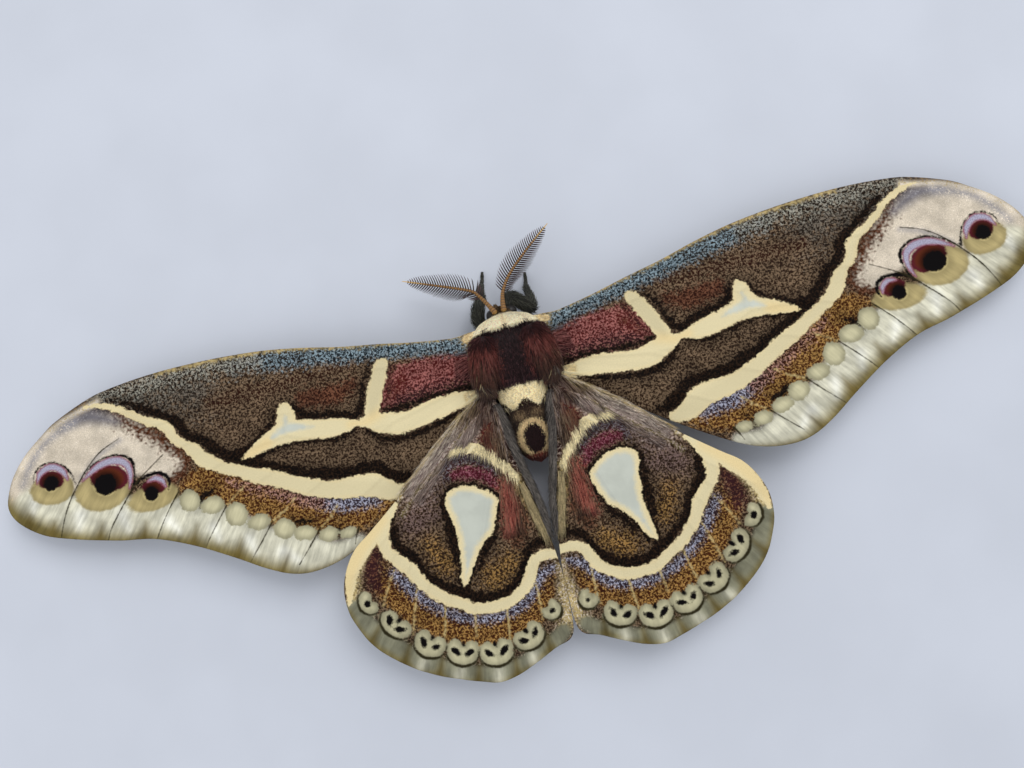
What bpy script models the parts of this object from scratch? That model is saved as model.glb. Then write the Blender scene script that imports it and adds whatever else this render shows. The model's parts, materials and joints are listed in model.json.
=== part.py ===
"""Rothschildia condor, a silk moth at rest with its wings spread flat, at life size.

It stands on its six feet at Z = 0. The head points along -Y, the left wings lie along +X.
Sizes are millimetres in the moth's own frame: "out" is the distance from the midline and
"aft" the distance behind the front of the thorax. MM turns them into metres.
"""

import math
import random

import bmesh
import bpy
from mathutils import Matrix, Vector
from mathutils.geometry import delaunay_2d_cdt

MM = 0.001
GAP = 0.3
SIDES = {"left": 1, "right": -1}
UP = Vector((0.0, 0.0, 1.0))
SEED = 3

# Core of the trunk from brow to tail, under the coat: aft, half width, half height, height of centre
TRUNK = (
    (-2.75, 0.35, 0.35, 4.4),
    (-2.45, 0.95, 0.95, 4.45),
    (-1.9, 1.4, 1.4, 4.55),
    (-1.2, 1.55, 1.6, 4.7),
    (-0.7, 1.7, 1.75, 4.85),
    (-0.35, 2.6, 2.3, 5.1),
    (0.3, 3.1, 2.8, 5.2),
    (1.3, 3.4, 3.15, 5.3),
    (3.0, 3.65, 3.4, 5.4),
    (5.0, 3.6, 3.4, 5.4),
    (6.6, 3.3, 3.1, 5.3),
    (7.5, 2.9, 2.75, 5.1),
    (8.6, 2.7, 2.45, 4.7),
    (9.8, 2.5, 2.2, 4.1),
    (11.4, 2.7, 2.3, 3.8),
    (13.4, 2.3, 2.05, 3.5),
    (14.8, 1.4, 1.3, 3.3),
    (15.4, 0.4, 0.4, 3.2),
)
TRUNK_SIDES = 20
LONGEST_BAY = 1.0
# The trunk's nodes in order, with the place where a thin cut parts each from the next
TRUNK_CUTS = {"head": -0.65, "collar": 1.35, "thorax": 7.45, "waist": 9.8, "abdomen": None}

EYE_CENTRE = (1.2, -1.65, 4.65)
EYE_RADIUS = 0.7
PALP_PATH = ((0.4, -2.1, 3.9), (0.45, -2.8, 3.65), (0.5, -3.3, 3.9))
PALP_RADII = (0.34, 0.3, 0.16)
PALP_STEP = 0.5

# Wing sheets
WING_THICKNESS = 0.5
VEIN_RISE = 0.2
VEIN_HALF_WIDTH = 0.42
VEIN_STEP = 3.0
EDGE_STEP = 2.0
LATTICE_STEP = 4.5
WELD = 0.02
MEMBRANE_SAG = 0.15
SAG_REACH = 2.2
WING_ROOT_HEIGHT = 5.2
WING_SPAN = 57.0
WING_DROOP = (0.9, 1.2)
HINDWING_LIFT = 1.3
HINDWING_FALL = 2.0
HINDWING_FALL_FROM = 20.8
HINDWING_REAR = 36.8
HINDWING_PIVOT = (3.5, 6.0)
HINDWING_TURN = {"left": 2.3, "right": -2.3}

# Edges and main veins of the wings, as (out, aft)
FOREWING_EDGE = (
    (2.0, 0.7),
    (8.0, 0.1),
    (14.0, -1.3),
    (22.0, -3.1),
    (30.0, -4.4),
    (38.0, -4.8),
    (46.0, -4.1),
    (52.0, -1.5),
    (55.8, 2.1),
    (57.0, 5.3),
    (55.5, 8.5),
    (51.2, 10.5),
    (42.0, 12.8),
    (38.0, 14.6),
    (34.0, 17.0),
    (30.0, 19.5),
    (26.0, 20.5),
    (20.0, 18.6),
    (15.0, 15.3),
    (10.0, 11.5),
    (2.0, 6.4),
)
FOREWING_VEINS = {
    "subcosta": ((3.0, 1.7), (14.0, -0.2), (26.0, -2.7), (36.0, -3.6), (44.5, -3.4)),
    "radius": ((3.0, 3.1), (14.0, 1.3), (26.0, -0.8), (38.0, -1.5), (49.5, -1.6)),
    "first_median": ((26.0, -0.8), (34.0, 0.2), (43.5, 1.2), (48.3, 4.2), (52.0, 9.0)),
    "second_median": ((25.0, 3.3), (32.0, 2.9), (39.2, 4.2), (43.0, 6.7), (46.6, 10.7)),
    "third_median": ((25.6, 5.6), (32.0, 6.3), (38.3, 8.4), (41.4, 11.9)),
    "first_cubital": ((20.5, 7.2), (28.0, 9.0), (33.7, 11.3), (36.6, 14.5)),
    "second_cubital": ((14.0, 7.2), (22.0, 10.8), (29.3, 14.2), (32.2, 17.2)),
    "cell_rear": ((3.0, 4.8), (14.0, 7.2), (20.5, 7.2), (25.6, 5.6), (25.0, 3.3)),
    "anal": ((3.0, 6.2), (12.0, 10.0), (20.0, 14.3), (26.6, 19.4)),
}
HINDWING_EDGE = (
    (3.0, 7.4),
    (5.0, 8.0),
    (8.0, 9.5),
    (12.0, 12.5),
    (16.0, 16.3),
    (20.5, 19.6),
    (22.9, 23.8),
    (22.3, 28.0),
    (19.0, 32.3),
    (13.0, 35.5),
    (8.8, 36.8),
    (4.5, 35.5),
    (1.5, 33.8),
    (0.4, 32.0),
    (0.4, 27.0),
    (1.2, 22.0),
    (2.1, 18.0),
    (2.9, 14.0),
    (3.2, 10.0),
)
HINDWING_VEINS = {
    "subcosta": ((4.0, 8.4), (9.0, 12.0), (16.0, 18.2), (21.6, 22.6)),
    "radius": ((3.9, 10.2), (11.0, 16.2), (17.0, 21.4), (21.9, 26.6)),
    "first_median": ((11.0, 16.2), (14.2, 20.6), (18.0, 26.5), (20.3, 30.2)),
    "second_median": ((10.8, 19.6), (13.0, 23.4), (15.4, 27.6), (17.3, 32.8)),
    "third_median": ((10.4, 23.0), (12.0, 26.6), (13.1, 30.0), (14.2, 34.2)),
    "first_cubital": ((3.7, 12.0), (6.6, 19.5), (9.0, 26.0), (10.2, 30.0), (10.9, 35.5)),
    "second_cubital": ((3.5, 14.4), (5.0, 21.0), (6.0, 26.0), (6.7, 31.0), (6.9, 35.6)),
    "anal": ((3.0, 16.4), (2.7, 22.0), (2.7, 28.0), (2.9, 33.8)),
}

# Feelers: points along each shaft (out, aft, height), and the feathering on both its sides
FEELER_PATHS = {
    "left": ((0.7, -1.7, 5.0), (1.7, -2.9, 5.0), (2.5, -3.9, 4.9), (5.7, -5.5, 4.5), (9.6, -7.4, 4.0)),
    "right": ((0.5, -1.9, 5.0), (0.9, -3.5, 5.0), (2.0, -4.9, 4.9), (4.1, -6.8, 4.6), (7.4, -9.4, 4.0)),
}
FEELER_RADII = (0.34, 0.2)
FEELER_STEP = 0.9
RAMI_PAIRS = 14
RAMI_START = 1.6
RAMUS_LENGTH = 1.8
RAMUS_RADII = (0.26, 0.07)
RAMUS_SLANT = 63.0
RAMUS_RISE = 0.12
RAMUS_SIDES = 5
RAMUS_OFF_AXIS = 0.08

# Legs: points from hip to toe (out, aft, height) and the radius at each
LEG_PATHS = {
    "foreleg_left": (
        (1.3, 0.5, 3.0),
        (2.2, -0.5, 2.5),
        (2.1, -2.4, 3.0),
        (1.6, -4.7, 1.3),
        (0.95, -6.9, 0.3),
    ),
    "foreleg_right": (
        (1.3, 0.5, 3.0),
        (2.3, -0.7, 2.3),
        (3.2, -1.9, 3.0),
        (3.5, -3.5, 1.2),
        (3.7, -5.4, 0.3),
    ),
    "midleg": (
        (1.8, 3.4, 2.6),
        (3.2, 3.2, 1.8),
        (6.2, 2.4, 3.0),
        (8.6, 3.0, 1.0),
        (10.8, 4.2, 0.3),
    ),
    "hindleg": (
        (1.8, 6.0, 2.6),
        (3.0, 7.0, 1.8),
        (4.6, 10.2, 3.0),
        (5.6, 13.6, 1.0),
        (6.6, 17.2, 0.3),
    ),
}
LEG_RADII = (0.7, 0.75, 0.62, 0.42, 0.34)
LEG_STEP = 1.1

# One lock of hair. Its sections: share of its length, of its width and of its thickness
LOCK_SECTIONS = ((-0.18, 0.7, 1.0), (0.3, 1.0, 1.0), (0.68, 0.72, 0.75))
LOCK_WIDTH = 1.3
LOCK_THICKNESS = 0.55
LOCK_SINK = 0.1
LOCK_BEND = 0.08

# The long coat of the trunk in rows: aft, half spread in degrees, number, length, lift in degrees
COAT_ROWS = {
    "collar": ((-0.25, 82, 9, 1.2, 40), (0.3, 82, 10, 1.0, 42)),
    "thorax": (
        (1.7, 20, 3, 2.3, 22),
        (2.7, 17, 2, 2.4, 20),
        (3.8, 20, 3, 2.4, 19),
        (4.9, 24, 4, 2.2, 18),
        (5.8, 46, 7, 1.5, 20),
    ),
    "waist": ((7.8, 40, 6, 1.9, 22), (8.6, 36, 5, 1.6, 16)),
    "abdomen": (
        (10.2, 44, 4, 1.8, 14),
        (11.3, 50, 5, 1.8, 14),
        (12.6, 56, 5, 1.7, 14),
        (13.7, 60, 5, 1.5, 12),
    ),
}
ROW_SCATTER = 0.12
TURN_SCATTER = 2.0
COAT_FAN = 0.12
CUT_MARGIN = 0.05

# Tegula, the furred flap over each forewing's root, with its locks in rows: aft, length, number
TEGULA_RADII = (1.6, 2.5, 1.0)
TEGULA_CENTRE = (3.0, 3.6, 7.35)
TEGULA_LEAN = 34.0
TEGULA_SPLAY = 12.0
TEGULA_ROWS = ((1.9, 2.6, 4), (3.1, 2.9, 5), (4.3, 2.6, 5))
TEGULA_SPREAD = 62.0
TEGULA_FAN = (-0.2, 0.65)
TEGULA_LIFT = 14.0

# Long hair along the inner edge of each hindwing, which covers the sides of the abdomen
FRINGE_FROM = 8.3
FRINGE_TO = 18.5
FRINGE_LOCKS = 9
FRINGE_LENGTH = 3.8
FRINGE_WIDTH = 1.7
FRINGE_INSET = 0.35
FRINGE_RISE = 0.12
FRINGE_INWARD = (0.2, 0.42)
FRINGE_LIFT = (0.0, 4.0)
FRINGE_LEAN = 0.25

COLOURS = {
    "head": (0.045, 0.03, 0.024),
    "eye": (0.012, 0.01, 0.01),
    "antenna": (0.2, 0.09, 0.03),
    "collar": (0.78, 0.66, 0.38),
    "thorax": (0.05, 0.022, 0.018),
    "tegula": (0.2, 0.04, 0.035),
    "waist": (0.78, 0.66, 0.38),
    "abdomen": (0.09, 0.05, 0.035),
    "forewing": (0.14, 0.09, 0.06),
    "hindwing": (0.16, 0.09, 0.06),
    "leg": (0.03, 0.024, 0.02),
}
FUR_ROUGHNESS = 0.85
EYE_ROUGHNESS = 0.15


def clear_scene():
    for obj in list(bpy.data.objects):
        bpy.data.objects.remove(obj, do_unlink=True)


def new_collection(name):
    collection = bpy.data.collections.new(name)
    bpy.context.scene.collection.children.link(collection)
    return collection


def material_for(kind):
    name = "moth_" + kind
    found = bpy.data.materials.get(name)
    if found:
        return found
    made = bpy.data.materials.new(name)
    made.use_nodes = True
    shader = made.node_tree.nodes["Principled BSDF"]
    shader.inputs["Base Color"].default_value = (*COLOURS[kind], 1.0)
    shader.inputs["Roughness"].default_value = EYE_ROUGHNESS if kind == "eye" else FUR_ROUGHNESS
    shader.inputs["Metallic"].default_value = 0.0
    return made


def add_object(name, bm, collection, kind=None):
    """Puts a millimetre mesh in the scene as an object in metres."""
    bmesh.ops.scale(bm, vec=(MM, MM, MM), verts=bm.verts)
    mesh = bpy.data.meshes.new(name)
    bm.to_mesh(mesh)
    bm.free()
    obj = bpy.data.objects.new(name, mesh)
    collection.objects.link(obj)
    if kind:
        mesh.materials.append(material_for(kind))
        mesh.shade_smooth()
    return obj


def add_piece(name, bm):
    """Adds a mesh that another object takes up when the two are fused."""
    return add_object(name, bm, bpy.context.scene.collection)


def add_cutter(name, bm, cutters):
    obj = add_object(name, bm, cutters)
    obj.hide_render = True
    obj.display_type = "WIRE"
    return obj


def smooth_curve(points, step, closed=False):
    """Points about one step apart on a Catmull-Rom curve through the given ones."""
    points = [Vector(point) for point in points]
    count = len(points)
    curve = []
    for index in range(count if closed else count - 1):
        start = points[index]
        end = points[(index + 1) % count]
        before = points[index - 1] if closed or index else start
        after = points[(index + 2) % count] if closed or index + 2 < count else end
        pieces = max(1, round((end - start).length / step))
        for piece in range(pieces):
            t = piece / pieces
            straight = 2 * start + (end - before) * t
            bent = (2 * before - 5 * start + 4 * end - after) * t**2
            twisted = (3 * start - 3 * end + after - before) * t**3
            curve.append((straight + bent + twisted) / 2)
    if not closed:
        curve.append(points[-1])
    return curve


def smooth_step(t):
    t = min(max(t, 0.0), 1.0)
    return t * t * (3 - 2 * t)


def vary(value, share=0.12):
    return value * random.uniform(1 - share, 1 + share)


def apply_boolean(obj, operation, cutter=None, group=None):
    """Cuts an object with a cutter, or unites it with a group of closed pieces that cross."""
    modifier = obj.modifiers.new("join", "BOOLEAN")
    modifier.operation = operation
    if group:
        modifier.solver = "MANIFOLD"
        modifier.operand_type = "COLLECTION"
        modifier.collection = group
    else:
        modifier.solver = "EXACT"
        modifier.object = cutter
    evaluated = obj.evaluated_get(bpy.context.evaluated_depsgraph_get())
    mesh = bpy.data.meshes.new_from_object(evaluated)
    obj.modifiers.remove(modifier)
    obj.data = mesh


def fuse(obj, pieces):
    """Unites closed pieces with an object, removes them and keeps one closed surface."""
    group = new_collection(obj.name + "_pieces")
    for piece in pieces:
        for home in list(piece.users_collection):
            home.objects.unlink(piece)
        group.objects.link(piece)
    apply_boolean(obj, "UNION", group=group)
    for piece in pieces:
        bpy.data.objects.remove(piece, do_unlink=True)
    bpy.data.collections.remove(group)
    keep_largest(obj)


def box_size(shell):
    sides = [[vert.co[axis] for vert in shell] for axis in range(3)]
    return sum((max(side) - min(side)) ** 2 for side in sides)


def keep_largest(obj):
    """Keeps only the closed surface with the largest box, so no scrap or sealed hollow stays."""
    bm = bmesh.new()
    bm.from_mesh(obj.data)
    left = set(bm.verts)
    shells = []
    while left:
        waiting = [left.pop()]
        shell = set(waiting)
        while waiting:
            vert = waiting.pop()
            near = {edge.other_vert(vert) for edge in vert.link_edges} - shell
            shell |= near
            waiting += near
        left -= shell
        shells.append(shell)
    shells.sort(key=box_size)
    for shell in shells[:-1]:
        bmesh.ops.delete(bm, geom=list(shell), context="VERTS")
    bm.to_mesh(obj.data)
    bm.free()


def cut_flat(bm, place, outward):
    """Removes what lies beyond a plane and closes the mesh with a flat face."""
    everything = bm.verts[:] + bm.edges[:] + bm.faces[:]
    made = bmesh.ops.bisect_plane(bm, geom=everything, plane_co=place, plane_no=outward, clear_outer=True)
    rim = [item for item in made["geom_cut"] if isinstance(item, bmesh.types.BMEdge)]
    if rim:
        bmesh.ops.contextual_create(bm, geom=rim)
        bmesh.ops.recalc_face_normals(bm, faces=bm.faces)


def trunk_at(aft):
    """Half width, half height and centre height of the trunk at a place along it."""
    for front, back in zip(TRUNK, TRUNK[1:]):
        if aft <= back[0]:
            break
    t = smooth_step((aft - front[0]) / (back[0] - front[0]))
    return [front[column] + (back[column] - front[column]) * t for column in (1, 2, 3)]


def trunk_mesh(grow=0.0):
    """The whole trunk, lofted through its unlike oval sections, or the same form grown evenly."""
    places = [row[0] for row in TRUNK]
    places += [(a + b) / 2 for a, b in zip(places, places[1:]) if b - a > LONGEST_BAY]
    bm = bmesh.new()
    rings = []
    for place in sorted(places):
        width, height, centre = trunk_at(place)
        aft = place - grow * (place == TRUNK[0][0]) + grow * (place == TRUNK[-1][0])
        ring = []
        for side in range(TRUNK_SIDES):
            angle = math.tau * side / TRUNK_SIDES
            x = (width + grow) * math.sin(angle)
            z = centre + (height + grow) * math.cos(angle)
            ring.append(bm.verts.new((x, aft, z)))
        rings.append(ring)
    for front, back in zip(rings, rings[1:]):
        for side in range(TRUNK_SIDES):
            after = (side + 1) % TRUNK_SIDES
            bm.faces.new((front[side], front[after], back[after], back[side]))
    bm.faces.new(rings[0])
    bm.faces.new(rings[-1])
    bmesh.ops.recalc_face_normals(bm, faces=bm.faces)
    return bm


def lock(root, normal, heading, length, lift, width=LOCK_WIDTH):
    """Mesh of a flat lock of hair: wide near its root, lifted off the skin, bent to a fine tip."""
    along = (heading - normal * heading.dot(normal)).normalized()
    across = along.cross(normal)
    rise = math.radians(lift)
    foot = root - normal * LOCK_SINK

    def middle(share):
        height = math.sin(rise) * share - LOCK_BEND * share * abs(share)
        return foot + (along * math.cos(rise) * share + normal * height) * length

    bm = bmesh.new()
    rings = []
    for share, spread, depth in LOCK_SECTIONS:
        half = across * width * spread / 2
        thick = normal * LOCK_THICKNESS * depth / 2
        rings.append([bm.verts.new(middle(share) + shift) for shift in (-half, -thick, half, thick)])
    tip = bm.verts.new(middle(1.0))
    for lower, upper in zip(rings, rings[1:]):
        for side in range(4):
            after = (side + 1) % 4
            bm.faces.new((lower[side], lower[after], upper[after], upper[side]))
    for side in range(4):
        bm.faces.new((rings[-1][side], rings[-1][(side + 1) % 4], tip))
    bm.faces.new(rings[0])
    bmesh.ops.recalc_face_normals(bm, faces=bm.faces)
    return bm


def coat(rows, front):
    """Rows of overlapping locks that lie backwards on top of the trunk, none ahead of the front."""
    locks = []
    for aft, spread, count, length, lift in rows:
        for place in range(count):
            share = 2 * (place + 0.5) / count - 1
            angle = math.radians(spread * share + random.uniform(-TURN_SCATTER, TURN_SCATTER))
            start = aft + random.uniform(-ROW_SCATTER, ROW_SCATTER)
            width, height, centre = trunk_at(start)
            root = Vector((width * math.sin(angle), start, centre + height * math.cos(angle)))
            normal = Vector((math.sin(angle) / width, 0.0, math.cos(angle) / height)).normalized()
            heading = Vector((COAT_FAN * math.sin(angle), 1.0, 0.0))
            bm = lock(root, normal, heading, vary(length), lift)
            cut_flat(bm, (0, front + CUT_MARGIN, 0), (0, -1, 0))
            locks.append(add_piece("lock", bm))
    return locks


def trunk_nodes(collection):
    """The trunk parted across into its nodes, each with its own coat."""
    nodes = {}
    front = None
    for name, cut in TRUNK_CUTS.items():
        bm = trunk_mesh()
        if front is not None:
            cut_flat(bm, (0, front, 0), (0, -1, 0))
        if cut is not None:
            cut_flat(bm, (0, cut - GAP / 2, 0), (0, 1, 0))
        nodes[name] = add_object(name, bm, collection, name)
        if name in COAT_ROWS:
            fuse(nodes[name], coat(COAT_ROWS[name], front))
        if cut is not None:
            front = cut + GAP / 2
    return nodes


def ball(radii, centre, turn=Matrix.Identity(4), segments=14, rings=9):
    bm = bmesh.new()
    bmesh.ops.create_uvsphere(bm, u_segments=segments, v_segments=rings, radius=1.0)
    place = Matrix.Translation(centre) @ turn @ Matrix.Diagonal((*radii, 1.0))
    bmesh.ops.transform(bm, matrix=place, verts=bm.verts)
    return bm


def eyes(head, collection, cutters):
    """An eye on each side, in a socket cut a gap wider than it."""
    for side, sign in SIDES.items():
        centre = Vector((sign * EYE_CENTRE[0], EYE_CENTRE[1], EYE_CENTRE[2]))
        socket = add_cutter("eye_socket_" + side, ball((EYE_RADIUS + GAP,) * 3, centre), cutters)
        apply_boolean(head, "DIFFERENCE", socket)
        add_object("eye_" + side, ball((EYE_RADIUS,) * 3, centre), collection, "eye")


def tube(path, radii):
    """Mesh of a tapered round tube along a smooth path, closed at both ends."""
    data = bpy.data.curves.new("guide", "CURVE")
    data.dimensions = "3D"
    data.bevel_depth = 1.0
    data.bevel_resolution = 2
    data.use_fill_caps = True
    spline = data.splines.new("POLY")
    spline.points.add(len(path) - 1)
    for index, point in enumerate(path):
        share = index / (len(path) - 1) * (len(radii) - 1)
        low = min(int(share), len(radii) - 2)
        spline.points[index].co = (*point, 1.0)
        spline.points[index].radius = radii[low] + (radii[low + 1] - radii[low]) * (share - low)
    guide = bpy.data.objects.new("guide", data)
    bpy.context.scene.collection.objects.link(guide)
    mesh = bpy.data.meshes.new_from_object(guide.evaluated_get(bpy.context.evaluated_depsgraph_get()))
    bpy.data.objects.remove(guide, do_unlink=True)
    bm = bmesh.new()
    bm.from_mesh(mesh)
    bmesh.ops.remove_doubles(bm, verts=bm.verts, dist=0.0001)
    bmesh.ops.recalc_face_normals(bm, faces=bm.faces)
    return bm


def mirrored(points, sign, step):
    return smooth_curve([(sign * out, aft, up) for out, aft, up in points], step)


def palps(head):
    """The two small feelers under the brow, fused to the head."""
    paths = [mirrored(PALP_PATH, sign, PALP_STEP) for sign in SIDES.values()]
    fuse(head, [add_piece("palp", tube(path, PALP_RADII)) for path in paths])


def wing_height(out, aft=0.0):
    """Height of the middle of the forewing sheet, which sinks a little towards its tip."""
    share = out / WING_SPAN
    return WING_ROOT_HEIGHT - WING_DROOP[0] * share - WING_DROOP[1] * share**2


def hindwing_height(out, aft):
    """The hindwing lies on the forewing at its front and sinks towards its rear."""
    fall = smooth_step((aft - HINDWING_FALL_FROM) / (HINDWING_REAR - HINDWING_FALL_FROM))
    return wing_height(out) + HINDWING_LIFT - HINDWING_FALL * fall


def distance_to_line(point, line):
    nearest = math.inf
    for start, end in zip(line, line[1:]):
        along = end - start
        t = min(max((point - start).dot(along) / along.length_squared, 0.0), 1.0)
        nearest = min(nearest, (point - start - along * t).length)
    return nearest


def offset_line(line, distance):
    shifted = []
    for index, point in enumerate(line):
        along = line[min(index + 1, len(line) - 1)] - line[max(index - 1, 0)]
        across = Vector((-along.y, along.x)).normalized()
        shifted.append(point + across * distance)
    return shifted


def inside(point, outline):
    crossed = False
    for start, end in zip(outline, outline[1:] + outline[:1]):
        if (start.y > point.y) != (end.y > point.y):
            level = (point.y - start.y) / (end.y - start.y)
            if point.x < start.x + level * (end.x - start.x):
                crossed = not crossed
    return crossed


def lattice_points(outline, lines):
    """Points on an even lattice, clear of the edge and of the veins, that let the sheet bend."""
    closed_edge = outline + outline[:1]
    low = [min(point[axis] for point in outline) for axis in (0, 1)]
    high = [max(point[axis] for point in outline) for axis in (0, 1)]
    columns, rows = (int((high[axis] - low[axis]) / LATTICE_STEP) + 1 for axis in (0, 1))
    points = []
    for column in range(columns):
        for row in range(rows):
            x = low[0] + (column + 0.5 * (row % 2)) * LATTICE_STEP
            y = low[1] + (row + 0.5) * LATTICE_STEP
            point = Vector((x, y))
            clear = min(distance_to_line(point, line) for line in lines + [closed_edge])
            if clear > LATTICE_STEP / 3 and inside(point, outline):
                points.append(point)
    return points


def flat_wing(edge, lines):
    """The wing's outline filled with triangles, with edges along each vein and both its sides."""
    outline = smooth_curve(edge, EDGE_STEP, closed=True)
    points = list(outline)
    constraints = [(index, (index + 1) % len(outline)) for index in range(len(outline))]
    for line in lines:
        for shift in (0.0, VEIN_HALF_WIDTH, -VEIN_HALF_WIDTH):
            start = len(points)
            points += offset_line(line, shift)
            constraints += [(index, index + 1) for index in range(start, len(points) - 1)]
    points += lattice_points(outline, lines)
    fill = delaunay_2d_cdt(points, constraints, [list(range(len(outline)))], 1, WELD)
    bm = bmesh.new()
    verts = [bm.verts.new((*point, 0.0)) for point in fill[0]]
    for triangle in fill[2]:
        bm.faces.new([verts[index] for index in triangle])
    bmesh.ops.recalc_face_normals(bm, faces=bm.faces)
    return bm


def wing_sheet(edge, veins, height_of, sign):
    """A closed thin sheet with each vein raised in its upper face.

    Both faces are split into the same triangles.
    """
    lines = [smooth_curve(points, VEIN_STEP) for points in veins.values()]
    bm = flat_wing(edge, lines)
    lower = bm.verts[:]
    made = bmesh.ops.extrude_face_region(bm, geom=bm.faces[:])
    upper = [item for item in made["geom"] if isinstance(item, bmesh.types.BMVert)]
    for verts, half in ((lower, -WING_THICKNESS / 2), (upper, WING_THICKNESS / 2)):
        for vert in verts:
            place = vert.co.xy
            away = min(distance_to_line(place, line) for line in lines)
            vert.co.z = height_of(place.x, place.y) + half
            vert.co.z -= MEMBRANE_SAG * smooth_step(away / SAG_REACH)
            if half > 0:
                vert.co.z += VEIN_RISE * max(0.0, 1.0 - away / VEIN_HALF_WIDTH)
    bmesh.ops.scale(bm, vec=(sign, 1, 1), verts=bm.verts)
    bmesh.ops.recalc_face_normals(bm, faces=bm.faces)
    return bm


def fringe(sign, place):
    """Locks of long hair rooted along the inner edge of one hindwing, lying backwards."""
    edge = [Vector(point) for point in reversed(HINDWING_EDGE[-6:])]
    up = Vector((-sign * FRINGE_LEAN, 0.0, 1.0)).normalized()
    locks = []
    for index in range(FRINGE_LOCKS):
        aft = FRINGE_FROM + (FRINGE_TO - FRINGE_FROM) * index / (FRINGE_LOCKS - 1)
        front, back = next((a, b) for a, b in zip(edge, edge[1:]) if b.y >= aft)
        share = (aft - front.y) / (back.y - front.y)
        out = front.x + (back.x - front.x) * share + FRINGE_INSET
        root = place @ Vector((sign * out, aft, hindwing_height(out, aft) + FRINGE_RISE))
        heading = Vector((-sign * random.uniform(*FRINGE_INWARD), 1.0, 0.0))
        lift = random.uniform(*FRINGE_LIFT)
        locks.append(add_piece("lock", lock(root, up, heading, vary(FRINGE_LENGTH), lift, FRINGE_WIDTH)))
    return locks


def wings(collection, trunk_cutter):
    for side, sign in SIDES.items():
        fore = wing_sheet(FOREWING_EDGE, FOREWING_VEINS, wing_height, sign)
        forewing = add_object("forewing_" + side, fore, collection, "forewing")
        hind = wing_sheet(HINDWING_EDGE, HINDWING_VEINS, hindwing_height, sign)
        pivot = Matrix.Translation((sign * HINDWING_PIVOT[0], HINDWING_PIVOT[1], 0.0))
        turn = Matrix.Rotation(math.radians(-sign * HINDWING_TURN[side]), 4, "Z")
        place = pivot @ turn @ pivot.inverted()
        bmesh.ops.transform(hind, matrix=place, verts=hind.verts)
        hindwing = add_object("hindwing_" + side, hind, collection, "hindwing")
        for wing in (forewing, hindwing):
            apply_boolean(wing, "DIFFERENCE", trunk_cutter)
            keep_largest(wing)
        fuse(hindwing, fringe(sign, place))


def legs(collection, trunk_cutter):
    """Six legs from under the trunk to the floor, each with a flat sole at Z = 0."""
    for side, sign in SIDES.items():
        for kind in ("foreleg", "midleg", "hindleg"):
            name = kind + "_" + side
            points = LEG_PATHS.get(name) or LEG_PATHS[kind]
            bm = tube(mirrored(points, sign, LEG_STEP), LEG_RADII)
            cut_flat(bm, (0, 0, 0), -UP)
            leg = add_object(name, bm, collection, "leg")
            apply_boolean(leg, "DIFFERENCE", trunk_cutter)
            keep_largest(leg)


def rami(path):
    """The feathering of one feeler: tapered side branches in pairs, longest at the middle."""
    branches = []
    for pair in range(RAMI_PAIRS):
        share = (pair + RAMI_START) / (RAMI_PAIRS + RAMI_START)
        place = share * (len(path) - 1)
        low = min(int(place), len(path) - 2)
        point = path[low].lerp(path[low + 1], place - low)
        along = (path[low + 1] - path[low]).normalized()
        length = RAMUS_LENGTH * (0.5 + 0.5 * math.sin(math.pi * (0.25 + 0.75 * share)))
        for hand in (1, -1):
            direction = Matrix.Rotation(math.radians(hand * RAMUS_SLANT), 3, "Z") @ along
            direction.z = RAMUS_RISE
            direction.normalize()
            bm = bmesh.new()
            bmesh.ops.create_cone(
                bm,
                segments=RAMUS_SIDES,
                radius1=RAMUS_RADII[0],
                radius2=RAMUS_RADII[1],
                depth=length,
                cap_ends=True,
            )
            stand = UP.rotation_difference(direction).to_matrix().to_4x4()
            shift = Matrix.Translation(point + direction * (length / 2 + RAMUS_OFF_AXIS))
            bmesh.ops.transform(bm, matrix=shift @ stand, verts=bm.verts)
            branches.append(add_piece("ramus", bm))
    return branches


def feelers(collection, trunk_cutter):
    for side, sign in SIDES.items():
        path = mirrored(FEELER_PATHS[side], sign, FEELER_STEP)
        feeler = add_object("antenna_" + side, tube(path, FEELER_RADII), collection, "antenna")
        apply_boolean(feeler, "DIFFERENCE", trunk_cutter)
        fuse(feeler, rami(path))


def tegula_locks(centre, turn, sign):
    """Locks that fan out backwards over the flap, in rows from its front to its rear."""
    radii = Matrix.Diagonal((*TEGULA_RADII, 1.0))
    locks = []
    for aft, length, count in TEGULA_ROWS:
        along = (aft - TEGULA_CENTRE[1]) / TEGULA_RADII[1]
        girth = math.sqrt(1 - along**2)
        for place in range(count):
            share = (place + 0.5) / count
            angle = math.radians(TEGULA_SPREAD * (2 * share - 1))
            spot = Vector((sign * girth * math.sin(angle), along, girth * math.cos(angle)))
            root = centre + turn @ radii @ spot
            facing = Vector((spot.x / TEGULA_RADII[0], 0.0, spot.z / TEGULA_RADII[2]))
            normal = (turn.to_3x3() @ facing).normalized()
            fan = TEGULA_FAN[0] + (TEGULA_FAN[1] - TEGULA_FAN[0]) * share
            heading = Vector((sign * fan, 1.0, 0.0))
            locks.append(add_piece("lock", lock(root, normal, heading, vary(length), TEGULA_LIFT)))
    return locks


def tegulae(collection, trunk_cutter):
    """The furred flap over the root of each forewing, lying on the side of the thorax."""
    for side, sign in SIDES.items():
        lean = Matrix.Rotation(math.radians(sign * TEGULA_LEAN), 4, "Y")
        splay = Matrix.Rotation(math.radians(-sign * TEGULA_SPLAY), 4, "Z")
        turn = splay @ lean
        centre = Vector((sign * TEGULA_CENTRE[0], TEGULA_CENTRE[1], TEGULA_CENTRE[2]))
        flap = add_object("tegula_" + side, ball(TEGULA_RADII, centre, turn, 16), collection, "tegula")
        fuse(flap, tegula_locks(centre, turn, sign))
        apply_boolean(flap, "DIFFERENCE", trunk_cutter)
        keep_largest(flap)


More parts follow.
